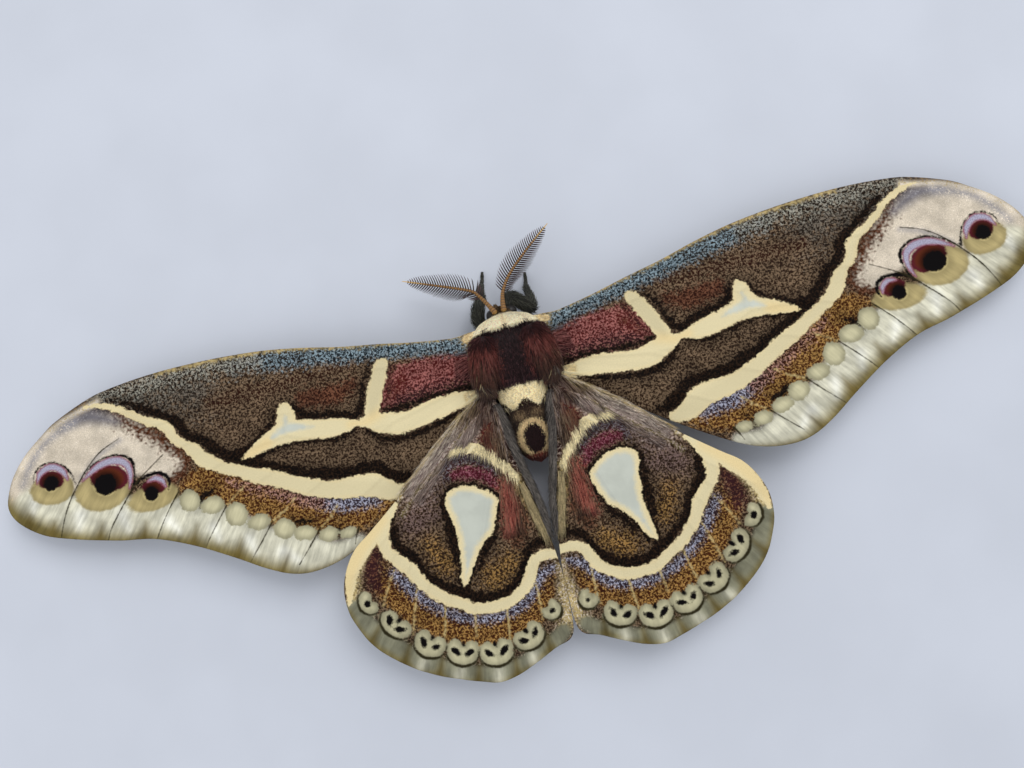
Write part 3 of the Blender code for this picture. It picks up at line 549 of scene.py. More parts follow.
# Soft clouds of colour: line, softness, ground, sprinkled scales, density
FOREWING_CLOUDS = (
    (((34.0, -1.5, 2.0), (41.0, -2.4, 1.4)), 2.0, "dusk", "ash", 0.5),
    (((12.0, 10.3, 0.9), (20.0, 9.3, 1.4), (27.0, 8.2, 0.9)), 0.6, "brown", "tan", 0.5),
    (((10.0, 9.9, 0.6), (13.0, 11.6, 0.7), (14.2, 12.6, 0.4)), 0.8, "brown", "tan", 0.62),
    (((17.0, 0.0, 0.5), (26.0, 0.3, 0.6), (33.0, 0.2, 0.6)), 0.7, "umber", "tan", 0.42),
    (((17.6, 2.3, 0.7), (20.0, 2.7, 1.1), (23.0, 2.5, 0.9)), 0.5, "umber", "brick", 0.5),
    (((4.5, 3.7, 1.5), (9.0, 3.4, 1.9), (12.5, 3.5, 1.7), (14.4, 5.0, 0.8)), 0.45, "wine", "rose", 0.5),
    (((12.4, 3.2, 0.4), (13.4, 4.8, 0.4)), 0.7, "wine", "brick", 0.3),
    (((12.9, 1.6, 0.2), (13.5, 3.2, 0.15), (14.3, 4.8, 0.1)), 0.35, "plum", "brick", 0.3),
    (((5.0, 4.9, 0.4), (9.0, 4.9, 0.5), (13.0, 5.2, 0.4)), 0.7, "plum", "rose", 0.36),
    (((5.0, 5.5, 0.25), (9.0, 5.5, 0.3), (13.5, 5.7, 0.3)), 0.5, "plum", "rose", 0.28),
    (((4.0, 1.4, 0.95), (10.0, 0.2, 0.9), (20.0, -1.75, 1.0), (26.0, -2.8, 1.0)), 0.45, "slate", "frost",
     0.5),
    (((21.0, -2.0, 0.5), (24.0, -2.6, 0.9), (30.0, -3.5, 0.9)), 0.8, "dusk", "frost", 0.46),
    (((27.0, -3.0, 0.5), (30.0, -3.6, 0.9), (36.0, -3.9, 0.9), (45.0, -3.7, 0.6)), 0.9, "dusk", "pebble",
     0.52),
    (((3.5, 0.5, 0.1), (14.0, -1.2, 0.1), (26.0, -3.8, 0.12), (38.0, -4.7, 0.12)), 0.25, "straw", "straw",
     0.3),
    (((17.3, 15.6, 0.9), (20.0, 16.0, 1.3), (23.0, 15.4, 1.6), (26.0, 14.2, 1.8), (29.0, 12.6, 1.9),
      (32.0, 10.8, 2.0), (34.5, 9.1, 1.9), (36.2, 7.9, 1.3), (37.8, 8.0, 0.6)), 0.4, "chestnut", "amber",
     0.47),
    (((18.0, 15.1, 0.4), (20.0, 14.6, 0.75), (22.5, 14.2, 0.6), (25.0, 13.1, 0.4)), 0.5, "night", "ice",
     0.46),
    (((24.0, 13.6, 0.5), (26.5, 12.4, 0.5), (30.0, 10.6, 0.4), (33.0, 8.9, 0.3)), 0.5, "umber", "copper",
     0.46),
    (((37.9, 5.7, 0.6), (39.0, 5.2, 1.6), (41.0, 3.7, 2.2), (44.0, 1.9, 3.1), (48.0, 1.5, 3.8),
      (52.0, 2.5, 3.3), (54.3, 4.4, 2.2)), 0.5, "beige", "milk", 0.2),
    (((39.1, 7.2, 0.4), (38.2, 6.8, 0.6), (37.3, 6.2, 0.5), (37.0, 5.3, 0.45), (37.5, 4.4, 0.5),
      (38.5, 3.5, 0.6), (39.1, 2.6, 0.65), (40.0, 1.7, 0.6), (41.2, 0.8, 0.6), (42.4, -0.3, 0.55),
      (43.5, -1.2, 0.35)), 0.65, "chestnut", "brick", 0.4),
    (((43.4, -0.6, 0.25), (44.8, -1.4, 0.6), (46.5, -2.0, 0.7), (49.0, -1.8, 0.4)), 0.8, "smoke", "mist",
     0.15),
    (((48.0, -1.9, 0.4), (51.5, -0.6, 0.3), (53.6, 1.4, 0.3), (54.9, 3.4, 0.2)), 0.7, "mist", "milk", 0.25),
    (((43.4, 1.4, 0.05), (46.0, 2.4, 0.12), (48.3, 4.2, 0.15)), 0.6, "mist", "milk", 0.1),
    (((45.0, -3.4, 0.3), (50.0, -2.1, 0.2), (53.6, 0.3, 0.15), (55.9, 3.0, 0.15), (56.7, 5.3, 0.15)), 0.4,
     "milk", "straw", 0.2),
    (((20.7, 18.6, 0.5), (24.0, 19.0, 1.1), (28.0, 18.0, 2.3), (31.0, 16.9, 2.4), (34.0, 14.8, 2.7),
      (37.0, 12.9, 2.7), (40.0, 11.5, 2.6), (43.0, 10.7, 2.7), (47.0, 9.8, 2.6), (51.0, 8.2, 2.6),
      (54.2, 6.3, 2.4)), 0.5, "ivory", "chalk", 0.0),
    (((22.0, 19.9, 0.1), (26.0, 20.6, 0.4), (30.0, 19.5, 0.8), (34.0, 17.1, 1.2), (38.0, 14.7, 1.1),
      (42.0, 12.9, 0.9), (46.0, 12.0, 0.9), (50.0, 10.8, 1.0), (53.5, 9.3, 1.4), (56.3, 7.0, 1.4),
      (56.9, 4.6, 0.5)), 1.0, "khaki", "straw", 0.0),
    # Painted highlights on the crests of the margin's folds, between the veins, over its pale scales
    *alike(
        0.8, "chalk", "chalk", 0.0,
        ((44.6, 11.0, 0.1), (45.0, 9.4, 0.6)), ((49.8, 9.4, 0.1), (49.4, 8.2, 0.6)),
    ),
    *alike(
        0.7, "chalk", "chalk", 0.0,
        ((54.3, 6.4, 0.1), (54.0, 5.4, 0.4)), ((39.3, 12.6, 0.1), (40.2, 11.2, 0.5)),
        ((35.3, 14.6, 0.1), (35.6, 13.2, 0.5)), ((31.8, 16.9, 0.1), (32.2, 15.4, 0.5)),
        ((27.5, 18.9, 0.2), (29.0, 17.6, 0.5)),
    ),
    # Painted shade in the margin's folds at the vein ends, in the margin's own olive
    *alike(
        0.8, "olive", "khaki", 0.0,
        ((55.2, 8.4, 0.7), (54.8, 6.8, 0.1)), ((52.9, 9.6, 0.7), (52.3, 8.2, 0.1)),
        ((47.9, 11.4, 0.7), (47.3, 9.7, 0.1)), ((43.3, 12.6, 0.7), (42.6, 10.8, 0.1)),
        ((38.2, 14.6, 0.7), (37.4, 12.6, 0.1)), ((34.0, 17.2, 0.8), (33.0, 15.2, 0.1)),
        ((29.6, 19.7, 0.5), (28.6, 18.2, 0.1)),
    ),
    (((3.6, 0.2, 0.3), (3.9, 1.4, 0.5), (4.4, 0.9, 0.3)), 0.5, "straw", "milk", 0.4),
)
# Pale veins that cross the bands
FOREWING_VEINLETS = (
    ((31.2, 9.7, 0.02), (32.6, 10.5, 0.05), (33.7, 11.3, 0.03)),
    ((26.4, 12.4, 0.02), (27.9, 13.5, 0.05), (29.2, 14.2, 0.03)),
    ((22.0, 14.2, 0.02), (23.3, 15.4, 0.05), (24.4, 16.2, 0.03)),
)
# Soft lines where everything is lighter or darker: line, softness, factor
FOREWING_SHADES = (
    (((14.0, 1.0, 0.9), (15.3, 3.6, 0.9), (16.2, 5.7, 0.4)), 0.5, 0.86),
    (((16.0, 14.3, 1.0), (24.0, 12.0, 1.0), (31.8, 8.0, 0.9), (37.0, 3.8, 0.9), (42.0, -1.0, 0.7)), 0.6,
     0.93),
    (((8.0, 7.2, 0.6), (14.0, 7.7, 0.6)), 0.8, 1.05),
    (((18.0, 9.6, 0.8), (24.0, 8.7, 0.8)), 1.5, 0.92),
    (((20.0, 1.2, 0.8), (30.0, 2.2, 0.8)), 1.5, 0.92),
    (((23.6, 5.3, 0.2), (25.6, 5.0, 0.5), (26.8, 5.4, 0.2)), 0.6, 1.1),
)
# Where the cream turns warm
FOREWING_HONEY = (
    ((28.0, 6.0, 0.5), (31.0, 7.0, 0.4)),
    ((17.8, 6.5, 0.3), (18.6, 6.4, 0.3)),
    ((15.2, 5.9, 0.3), (17.2, 6.6, 0.3)),
)

HINDWING_EDGE = (
    (3.5, 6.6), (5.0, 8.0), (8.0, 9.5), (10.0, 10.8), (12.0, 12.5), (14.5, 15.0), (16.0, 16.3), (19.0, 18.6),
    (21.0, 20.1), (22.3, 22.0), (22.95, 24.0), (22.9, 26.2), (22.3, 28.0), (21.3, 29.9), (19.6, 31.8),
    (17.6, 33.3), (16.0, 34.3), (13.2, 35.5), (10.8, 36.25), (8.8, 36.8), (6.6, 36.35), (4.4, 35.5),
    (2.4, 34.5), (0.8, 34.0), (0.15, 32.8), (0.03, 30.0), (0.03, 27.0), (0.6, 22.0), (1.3, 18.0),
    (2.0, 14.0), (2.6, 10.0),
)
HINDWING_VEINS = (
    ((4.0, 8.4), (9.0, 12.0), (16.0, 18.2), (21.6, 22.6)),
    ((3.9, 10.2), (11.0, 16.2), (17.0, 21.4), (21.9, 26.6)),
    ((11.0, 16.2), (14.2, 20.6), (18.0, 26.5), (20.3, 30.2)),
    ((10.8, 19.6), (13.0, 23.4), (15.4, 27.6), (17.3, 32.8)),
    ((10.4, 23.0), (12.0, 26.6), (13.1, 30.0), (14.2, 34.2)),
    ((3.7, 12.0), (6.6, 19.5), (9.0, 26.0), (10.2, 30.0), (10.9, 35.5)),
    ((3.5, 14.4), (5.0, 21.0), (6.0, 26.0), (6.7, 31.0), (6.9, 35.6)),
    ((3.0, 16.4), (2.7, 22.0), (2.7, 28.0), (2.9, 33.8)),
)
HINDWING_WINDOW = (
    (5.05, 18.0), (5.9, 17.1), (6.8, 16.5), (8.2, 16.05), (9.6, 16.15), (10.5, 16.9), (10.45, 18.0),
    (10.15, 19.4), (10.0, 21.2), (10.15, 23.2), (10.5, 25.2), (10.45, 26.2), (9.9, 25.9), (9.1, 24.7),
    (8.2, 23.2), (7.2, 22.1), (6.2, 21.4), (5.7, 20.2), (5.3, 19.0),
)
WINDOW_FRAME = 0.55
WINDOW_RIM = 0.36
HINDWING_BANDS = {
    "black": (
        ((0.2, 23.4, 0.3), (1.4, 23.4, 0.45), (2.9, 23.9, 0.5), (3.6, 25.2, 0.5), (4.5, 26.6, 0.6),
         (5.7, 27.5, 0.6), (7.2, 27.9, 0.6), (9.0, 27.75, 0.6), (10.5, 27.0, 0.6), (12.0, 26.0, 0.5),
         (13.3, 25.0, 0.5), (14.2, 24.0, 0.55), (14.8, 22.7, 0.55), (15.8, 21.5, 0.6), (16.5, 20.3, 0.55),
         (16.6, 19.0, 0.4), (16.4, 17.8, 0.2)),
        ((9.9, 25.0, 0.2), (10.3, 27.0, 0.4)),
        ((6.3, 22.0, 0.3), (7.5, 23.3, 0.4), (8.5, 24.8, 0.25)),
        ((10.8, 17.4, 0.25), (10.7, 19.4, 0.45), (10.6, 21.5, 0.45), (10.8, 23.5, 0.25)),
    ),
    "cream": (
        ((0.2, 25.0, 0.45), (1.6, 24.8, 0.6), (2.8, 25.4, 0.6), (3.5, 26.9, 0.6), (4.8, 28.1, 0.6),
         (6.3, 28.8, 0.6), (8.0, 28.95, 0.6), (9.8, 28.7, 0.6), (11.2, 27.9, 0.6), (12.6, 27.0, 0.6),
         (13.9, 25.9, 0.6), (14.9, 24.7, 0.65), (15.5, 23.4, 0.72), (16.6, 22.2, 0.7), (17.6, 21.0, 0.65),
         (17.8, 19.4, 0.75), (17.4, 18.0, 0.8)),
        ((15.8, 16.4, 0.3), (17.7, 17.9, 0.9), (19.3, 19.3, 1.0), (20.9, 21.0, 0.8), (22.1, 23.2, 0.6),
         (22.6, 25.4, 0.2)),
        ((2.4, 16.6, 0.25), (3.4, 15.2, 0.5), (4.6, 13.8, 0.58), (5.8, 12.8, 0.6), (7.1, 12.3, 0.55),
         (8.6, 12.5, 0.3)),
    ),
}
HINDWING_THREADS = (
    ((6.5, 28.4, 0.04), (6.65, 30.6, 0.07), (6.9, 32.6, 0.05)),
    ((9.8, 28.2, 0.04), (10.0, 29.8, 0.07), (10.3, 31.6, 0.05)),
    ((12.6, 26.9, 0.04), (13.1, 29.2, 0.07), (13.6, 31.3, 0.05)),
    ((15.3, 25.2, 0.04), (16.1, 27.8, 0.07), (16.7, 29.9, 0.05)),
    ((17.3, 23.0, 0.03), (18.4, 24.8, 0.06), (19.2, 26.4, 0.04)),
    ((3.0, 27.2, 0.03), (3.0, 29.0, 0.06), (3.1, 31.2, 0.04)),
)
# Pale cells before the margin: out, aft, half length, half depth, turn in degrees, marks
LUNULES = (
    (1.9, 30.7, 1.05, 1.0, 40, 1), (4.8, 32.9, 1.75, 1.3, 24, 2), (8.55, 33.75, 1.85, 1.42, 0, 2),
    (12.05, 33.0, 1.72, 1.4, -16, 2), (15.3, 31.5, 1.75, 1.35, -34, 2), (18.45, 28.7, 1.9, 1.15, -52, 2),
    (20.85, 25.85, 1.3, 0.9, -66, 1),
)
HINDWING_CLOUDS = (
    (((7.0, 26.0, 1.2), (5.0, 24.8, 0.9)), 1.0, "brown", "amber", 0.48),
    (((11.8, 23.5, 0.9), (13.0, 21.0, 0.6)), 1.0, "brown", "amber", 0.42),
    (((11.5, 18.0, 0.6), (13.5, 18.5, 1.2), (15.0, 19.0, 0.8)), 1.0, "brown", "mouse", 0.5),
    (((10.2, 14.6, 0.6), (12.6, 16.6, 0.8), (14.6, 18.2, 0.6)), 0.8, "brown", "mouse", 0.6),
    (((6.2, 10.6, 1.0), (9.6, 12.6, 1.1), (13.6, 15.4, 1.0)), 0.9, "mouse", "dove", 0.62),
    (((7.8, 9.6, 0.3), (10.4, 11.7, 0.5), (13.2, 14.0, 0.5)), 0.7, "dove", "milk", 0.4),
    (((5.2, 10.0, 0.5), (6.4, 11.0, 0.5)), 0.8, "mouse", "dove", 0.6),
    (((4.2, 7.6, 0.5), (4.1, 9.0, 0.5), (3.7, 10.6, 0.4)), 0.7, "umber", "mouse", 0.5),
    (((4.3, 10.6, 0.5), (5.0, 11.6, 0.5), (4.2, 12.7, 0.3)), 0.6, "wine", "brick", 0.45),
    (((4.2, 7.0, 0.1), (7.3, 9.1, 0.15), (10.6, 11.7, 0.16), (13.8, 14.3, 0.18), (15.3, 15.9, 0.2)), 0.2,
     "straw", "milk", 0.4),
    (((6.3, 9.6, 0.05), (8.9, 12.4, 0.1), (11.1, 14.1, 0.12), (13.3, 15.7, 0.1), (15.2, 17.6, 0.05)), 0.25,
     "khaki", "dove", 0.4),
    (((4.8, 15.4, 0.35), (5.8, 14.1, 0.5), (7.2, 13.4, 0.5), (9.0, 13.5, 0.5), (9.8, 14.8, 0.4)), 0.4,
     "plum", "smoke", 0.42),
    (((5.0, 16.6, 0.45), (5.8, 15.5, 0.55), (7.2, 14.9, 0.6), (8.8, 14.7, 0.5)), 0.35, "crimson", "blush",
     0.4),
    (((3.9, 16.8, 0.5), (3.8, 18.8, 0.9), (3.9, 20.6, 0.8), (4.6, 21.6, 0.5)), 0.7, "russet", "clay", 0.6),
    (((2.6, 17.4, 0.2), (2.4, 19.2, 0.3), (2.8, 21.2, 0.5), (4.0, 22.8, 0.6)), 0.6, "brown", "brick", 0.5),
    (((3.1, 7.6, 0.2), (2.7, 10.0, 0.3), (2.5, 12.6, 0.3), (1.9, 15.4, 0.3), (1.0, 18.6, 0.3),
      (0.6, 22.0, 0.3)), 0.5, "plum", "dove", 0.35),
    (((2.4, 16.4, 0.3), (2.0, 18.4, 0.35), (1.3, 20.4, 0.35), (0.8, 22.6, 0.3)), 0.35, "khaki", "straw",
     0.5),
    (((0.2, 26.4, 0.2), (0.3, 29.0, 0.5), (0.6, 32.0, 0.8)), 0.8, "straw", "milk", 0.3),
    (((2.0, 28.4, 0.8), (3.6, 30.2, 1.3), (5.6, 31.2, 1.5), (8.0, 31.6, 1.6), (10.8, 31.1, 1.5),
      (13.0, 29.9, 1.5), (15.2, 28.2, 1.6), (17.0, 26.3, 1.5), (18.6, 24.4, 1.3)), 0.35, "chestnut", "amber",
     0.47),
    (((1.2, 27.2, 0.4), (2.6, 28.4, 0.4), (4.4, 30.0, 0.4), (8.0, 30.7, 0.4), (11.6, 29.9, 0.4),
      (14.4, 27.7, 0.5), (17.0, 24.9, 0.6), (18.4, 22.4, 0.5)), 0.7, "umber", "amber", 0.36),
    (((0.9, 26.3, 0.3), (2.3, 26.8, 0.45), (3.3, 28.3, 0.42), (4.5, 29.3, 0.42), (6.0, 29.9, 0.4),
      (8.0, 30.1, 0.4), (10.0, 29.9, 0.4), (11.8, 29.1, 0.4), (13.6, 27.9, 0.45), (15.2, 26.4, 0.5),
      (16.5, 24.7, 0.5), (17.5, 23.3, 0.4)), 0.35, "night", "ice", 0.44),
    (((18.5, 19.9, 0.3), (20.2, 21.4, 0.4), (21.7, 23.4, 0.4), (22.3, 25.8, 0.4)), 0.5, "straw", "cream",
     0.3),
    (((18.8, 20.8, 0.6), (19.4, 22.0, 0.9), (19.6, 23.4, 0.9), (19.4, 24.4, 0.6)), 0.6, "plum", "brick",
     0.28),
    (((1.2, 33.0, 0.7), (4.5, 35.2, 1.1), (8.6, 36.4, 1.4), (13.0, 35.2, 1.3), (17.5, 32.8, 1.5),
      (20.8, 29.6, 1.5), (22.3, 26.0, 0.9)), 0.35, "sage", "lichen", 0.0),
    (((2.6, 34.3, 0.1), (8.8, 36.8, 0.2), (16.0, 34.3, 0.2), (21.3, 29.9, 0.3), (22.9, 26.2, 0.2)), 0.5,
     "khaki", "lichen", 0.0),
    # Painted shade in the margin's folds at the vein ends, in the margin's own olive
    *alike(
        0.6, "olive", "sage", 0.0,
        ((3.0, 34.6, 0.4), (3.0, 33.0, 0.05)), ((6.9, 36.4, 0.5), (6.8, 34.8, 0.05)),
        ((11.1, 36.2, 0.5), (10.6, 34.6, 0.05)), ((14.9, 34.7, 0.5), (14.2, 33.0, 0.05)),
        ((18.2, 32.7, 0.5), (17.3, 31.0, 0.05)), ((21.2, 29.9, 0.4), (20.0, 28.4, 0.05)),
    ),
    # Painted highlights on the crests of the margin's folds, between the veins
    *alike(
        0.9, "ivory", "lichen", 0.0,
        ((5.0, 35.3, 0.3), (4.9, 34.8, 0.2)), ((8.9, 36.4, 0.3), (8.7, 35.6, 0.2)),
        ((13.0, 35.3, 0.3), (12.6, 34.8, 0.2)), ((16.6, 33.5, 0.3), (16.2, 33.1, 0.2)),
    ),
)
HINDWING_SHADES = (
    (((0.4, 25.0, 0.5), (3.0, 26.0, 0.7), (8.0, 28.9, 0.7), (13.9, 25.9, 0.7), (17.6, 21.0, 0.7)), 0.5,
     0.94),
    (((1.9, 30.7, 0.7), (4.8, 32.9, 1.0), (8.5, 33.7, 1.0), (12.0, 33.0, 1.0), (15.3, 31.4, 1.0),
      (20.8, 25.8, 0.8)), 0.4, 0.88),
)
HINDWING_HONEY = (((17.5, 17.6, 0.4), (20.6, 20.0, 0.8), (22.3, 22.8, 0.6), (22.8, 25.0, 0.3)),)

# Locks of long hair on the wings: line of their roots, point they spread from, length, number, colours
FOREWING_HAIR = (
    (((3.6, 6.8, 0.5), (5.6, 7.0, 0.7)), (0.5, 5.2), 0.8, 700, ("waist", "waist_light")),
    (((4.4, 2.2, 0.8), (5.0, 4.6, 0.9)), (0.5, 2.2), 1.1, 900, ()),
    (((3.2, 0.6, 0.3), (4.0, 0.8, 0.35), (4.5, 0.8, 0.2)), (1.0, 0.4), 0.6, 560, ("collar_shade", "ring")),
    (((3.0, 0.4, 0.2), (3.9, 0.9, 0.2)), (-1.0, 0.4), 0.5, 300, ("collar", "collar_shade")),
)
HINDWING_HAIR = (
    (((3.4, 7.4, 0.5), (5.4, 8.8, 0.8), (7.2, 10.4, 1.0)), (1.6, 2.6), 2.0, 2600, ()),
    (((7.4, 10.6, 0.9), (10.6, 13.2, 1.1), (13.2, 15.8, 1.1)), (-4.0, 0.0), 1.0, 2600, ()),
    (((4.2, 7.1, 0.12), (7.4, 9.1, 0.14), (10.6, 11.8, 0.14), (14.2, 14.8, 0.14)), (-4.0, 0.4), 1.6, 420,
     ()),
    (((3.6, 8.6, 0.6), (3.9, 11.4, 1.1), (3.8, 13.4, 0.8)), (3.4, -2.0), 1.7, 2400, ()),
    (((2.5, 16.4, 0.4), (3.6, 15.0, 0.5), (4.8, 13.6, 0.6), (6.2, 12.6, 0.6), (8.4, 12.5, 0.4)), (3.0, 3.0),
     0.8, 2400, ()),
    (((3.2, 15.6, 0.7), (3.6, 18.0, 1.1), (3.8, 21.2, 1.3)), (2.6, 2.0), 1.5, 3400, ()),
    (((2.2, 17.0, 0.3), (1.7, 19.6, 0.35), (1.0, 22.4, 0.3)), (5.0, 6.0), 1.9, 900, ("khaki_hair", "buff")),
    (((3.0, 8.4, 0.3), (2.6, 11.0, 0.35), (2.2, 13.4, 0.35), (1.5, 16.4, 0.35), (0.8, 19.6, 0.3),
      (0.6, 22.4, 0.2)), (9.0, -4.0), 1.5, 3000, ("pitch", "grey")),
)

LUNULE_LINE = (
    (-1.03, -0.5, 0.03), (-1.02, 0.0, 0.07), (-0.85, 0.5, 0.11), (-0.45, 0.86, 0.15), (0.0, 1.0, 0.17),
    (0.45, 0.86, 0.15), (0.85, 0.5, 0.11), (1.02, 0.0, 0.07), (1.03, -0.5, 0.03),
)
# Parts of a cell: along, outward, half length and half depth as shares of the cell's, turn
LUNULE_BODY = ((0.5, -0.3, 0.5, 0.7, 12.0), (-0.5, -0.3, 0.5, 0.7, -12.0), (0.0, 0.14, 0.96, 0.82, 0.0))
LUNULE_MARKS = {
    1: ((0.0, -0.05, 0.3, 0.26, 0.0),),
    2: ((-0.4, -0.1, 0.33, 0.18, 40.0), (0.42, -0.1, 0.33, 0.18, -46.0), (0.0, -0.66, 0.12, 0.2, 0.0)),
}
# Points that the pleats of the margins fan out from
FOREWING_FAN = (-80.0, -152.0)
HINDWING_FAN = (6.0, 10.0)
PLEAT_STRETCH = 0.12
# Spread of single scales over the edges of clouds, and the density under which edges are smooth
SCATTER = 0.6
SMOOTH_DENSITY = 0.25
HONEY_SHARE = 0.9
# Layers of markings from the lowest: how ragged and how soft the edge of each is
LAYER_EDGES = {
    "black": (2.2, 0.12), "cream": (1.25, 0.08), "window": (0.9, 0.3), "shell": (1.0, 0.1),
    "ring": (0.6, 0.16), "rust": (0.6, 0.12), "ink": (0.8, 0.1), "lilac": (0.7, 0.1), "pencil": (0.32, 0.09),
}
GLASS_SOFTNESS = 0.16
# Noise on the wings: scale, detail, roughness, distortion
WING_NOISE = {
    "grain": (4.4, 2.0, 0.6, 0.8), "fine": (9.0, 2.0, 0.6), "broad": (0.55, 2.0, 0.5),
    "pleats": (1.9, 4.0, 0.62), "ragged": (1.7, 5.0, 0.72),
}


def ribbon(chart, points, step=BAND_STEP):
    """Signed distance to a band with a smooth middle line, negative inside it."""
    line = smooth_line(points, step)
    reach = np.full(len(chart), FAR)
    for start, end in zip(line, line[1:]):
        along = end[:2] - start[:2]
        share = np.clip((chart - start[:2]) @ along / max(along @ along, TINY), 0.0, 1.0)
        near = start + share[:, None] * (end - start)
        reach = np.minimum(reach, np.hypot(*(chart - near[:, :2]).T) - near[:, 2])
    return reach


def oval(chart, out, aft, long, wide, turn):
    """Signed distance, near enough, to an oval."""
    angle = math.radians(turn)
    off = chart - (out, aft)
    along = off[:, 0] * math.cos(angle) + off[:, 1] * math.sin(angle)
    across = off[:, 1] * math.cos(angle) - off[:, 0] * math.sin(angle)
    return (np.hypot(along / long, across / wide) - 1.0) * min(long, wide)


def inside(chart, outline):
    crossed = np.zeros(len(chart), bool)
    for start, end in zip(outline, np.roll(outline, -1, axis=0)):
        if start[1] == end[1]:
            continue
        spans = (start[1] > chart[:, 1]) != (end[1] > chart[:, 1])
        level = start[0] + (chart[:, 1] - start[1]) / (end[1] - start[1]) * (end[0] - start[0])
        crossed ^= spans & (chart[:, 0] < level)
    return crossed


def patch(chart, points):
    """Signed distance to a smooth closed outline, negative inside it."""
    outline = smooth_line([(*point, 0.0) for point in points], BAND_STEP, closed=True)
    away = ribbon(chart, np.vstack((outline, outline[:1])), step=FAR)
    return np.where(inside(chart, outline[:, :2]), -away, away)


def flat_wing(edge, lines, spacing):
    """Triangles over a wing's outline: an even lattice, with edges along the rim and the lines."""
    outline = smooth_line(edge, spacing, closed=True)
    rows = [outline]
    pairs = [(index, (index + 1) % len(outline)) for index in range(len(outline))]
    for line in lines:
        start = sum(len(row) for row in rows)
        row = smooth_line([point[:2] for point in line], spacing)
        rows.append(row)
        pairs += [(index, index + 1) for index in range(start, start + len(row) - 1)]
    fixed = np.vstack(rows)
    low, high = outline.min(0), outline.max(0)
    rise_step = spacing * math.sqrt(3.0) / 2.0
    across, along = np.meshgrid(np.arange(low[0], high[0], spacing), np.arange(low[1], high[1], rise_step))
    across[1::2] += spacing / 2.0
    lattice = np.column_stack((across.ravel(), along.ravel()))
    lattice = lattice[inside(lattice, outline)]
    lattice = lattice[nearest_of(lattice, fixed)[1] > CLEARANCE * spacing]
    points = [Vector(point) for point in np.vstack((fixed, lattice))]
    filled = delaunay_2d_cdt(points, pairs, [list(range(len(outline)))], 1, spacing * 0.02)
    return np.array([point[:] for point in filled[0]]), np.array(filled[2]), outline


def wing_relief(chart, outline, lines, base, sizes):
    """Height of the middle of the sheet and of the veins on it."""
    vein = np.minimum.reduce([ribbon(chart, [(*p[:2], 0.0) for p in line], VEIN_STEP) for line in lines])
    rim = nearest_of(chart, outline)[1]
    margin = 1.0 - rise(rim, 0.0, MARGIN_WIDTH)
    sag = MEMBRANE_SAG * rise(vein, 0.0, SAG_REACH) * (1.0 + MARGIN_SAG * margin)
    ripple = RIPPLE * np.sin(chart[:, 0] / RIPPLE_PITCH + np.sin(chart[:, 1] / RIPPLE_PITCH))
    ridge = sizes.vein_rise / MM * (1.0 - rise(vein, 0.0, VEIN_HALF_WIDTH)) * rise(rim, 0.0, 1.0)
    return base - sag + ripple, ridge


def wing_paint(chart, bands, spots, clouds, honey, shades, centre, colours):
    """Attributes that carry a wing's markings."""
    painted = {}
    for layer in LAYER_EDGES:
        fields = [ribbon(chart, band) for band in bands.get(layer, ())]
        fields += [oval(chart, *spot) for spot in spots.get(layer, ())]
        painted[layer] = np.minimum.reduce(fields) if fields else np.full(len(chart), FAR)
    ground = plain(chart, colours.brown)
    speck = np.tile((*colours.tan, 0.5), (len(chart), 1))
    scatter = np.random.default_rng(SEEDS["scales"]).normal(0.0, SCATTER, len(chart))
    for line, softness, under, over, density in clouds:
        spread = scatter * softness * (density > SMOOTH_DENSITY)
        weight = 1.0 - rise(ribbon(chart, line) + spread, -softness, softness)
        ground = blend(ground, (*getattr(colours, under), 1.0), weight)
        speck = blend(speck, (*getattr(colours, over), density), weight)
    warm = np.minimum.reduce([ribbon(chart, line) for line in honey])
    painted["honey"] = HONEY_SHARE - HONEY_SHARE * rise(warm, -0.4, 0.9)
    painted["shade"] = np.ones(len(chart))
    for line, softness, factor in shades:
        weight = 1.0 - rise(ribbon(chart, line), -softness, softness)
        painted["shade"] *= 1.0 + (factor - 1.0) * weight
    painted["ground"] = ground
    painted["speck"] = speck
    off = chart - centre
    away = np.hypot(*off.T)
    around = np.arctan2(off[:, 0], off[:, 1]) * np.median(away)
    painted["fan"] = np.column_stack((around, away * PLEAT_STRETCH, np.zeros(len(chart))))
    return painted


def lunules():
    """Outlines of the pale cells of the hindwing's margin, and the ovals that fill and mark them."""
    outlines = []
    spots = {"shell": [], "ink": []}
    for out, aft, half, depth, turn, marks in LUNULES:
        angle = math.radians(turn)
        along = np.array((math.cos(angle), math.sin(angle))) * half
        outward = np.array((-math.sin(angle), math.cos(angle))) * depth
        centre = np.array((out, aft))
        outlines.append([(*(centre + along * u + outward * v), wide) for u, v, wide in LUNULE_LINE])
        for layer, parts, tall in (("shell", LUNULE_BODY, depth), ("ink", LUNULE_MARKS[marks], half)):
            for u, v, long, wide, tilt in parts:
                middle = centre + along * u + outward * v
                spots[layer].append((*middle, half * long, tall * wide, turn + tilt))
    return outlines, spots


def pale_threads(lines):
    return alike(0.1, "straw", "straw", 0.5, *lines)


def forewing_layout():
    bands = {**FOREWING_BANDS, "pencil": FOREWING_THREADS}
    clouds = FOREWING_CLOUDS + pale_threads(FOREWING_VEINLETS)
    return bands, FOREWING_SPOTS, clouds, FOREWING_HONEY, FOREWING_SHADES, FOREWING_FAN


def hindwing_layout():
    outlines, spots = lunules()
    bands = {**HINDWING_BANDS, "pencil": outlines}
    clouds = HINDWING_CLOUDS + pale_threads(HINDWING_THREADS)
    return bands, spots, clouds, HINDWING_HONEY, HINDWING_SHADES, HINDWING_FAN


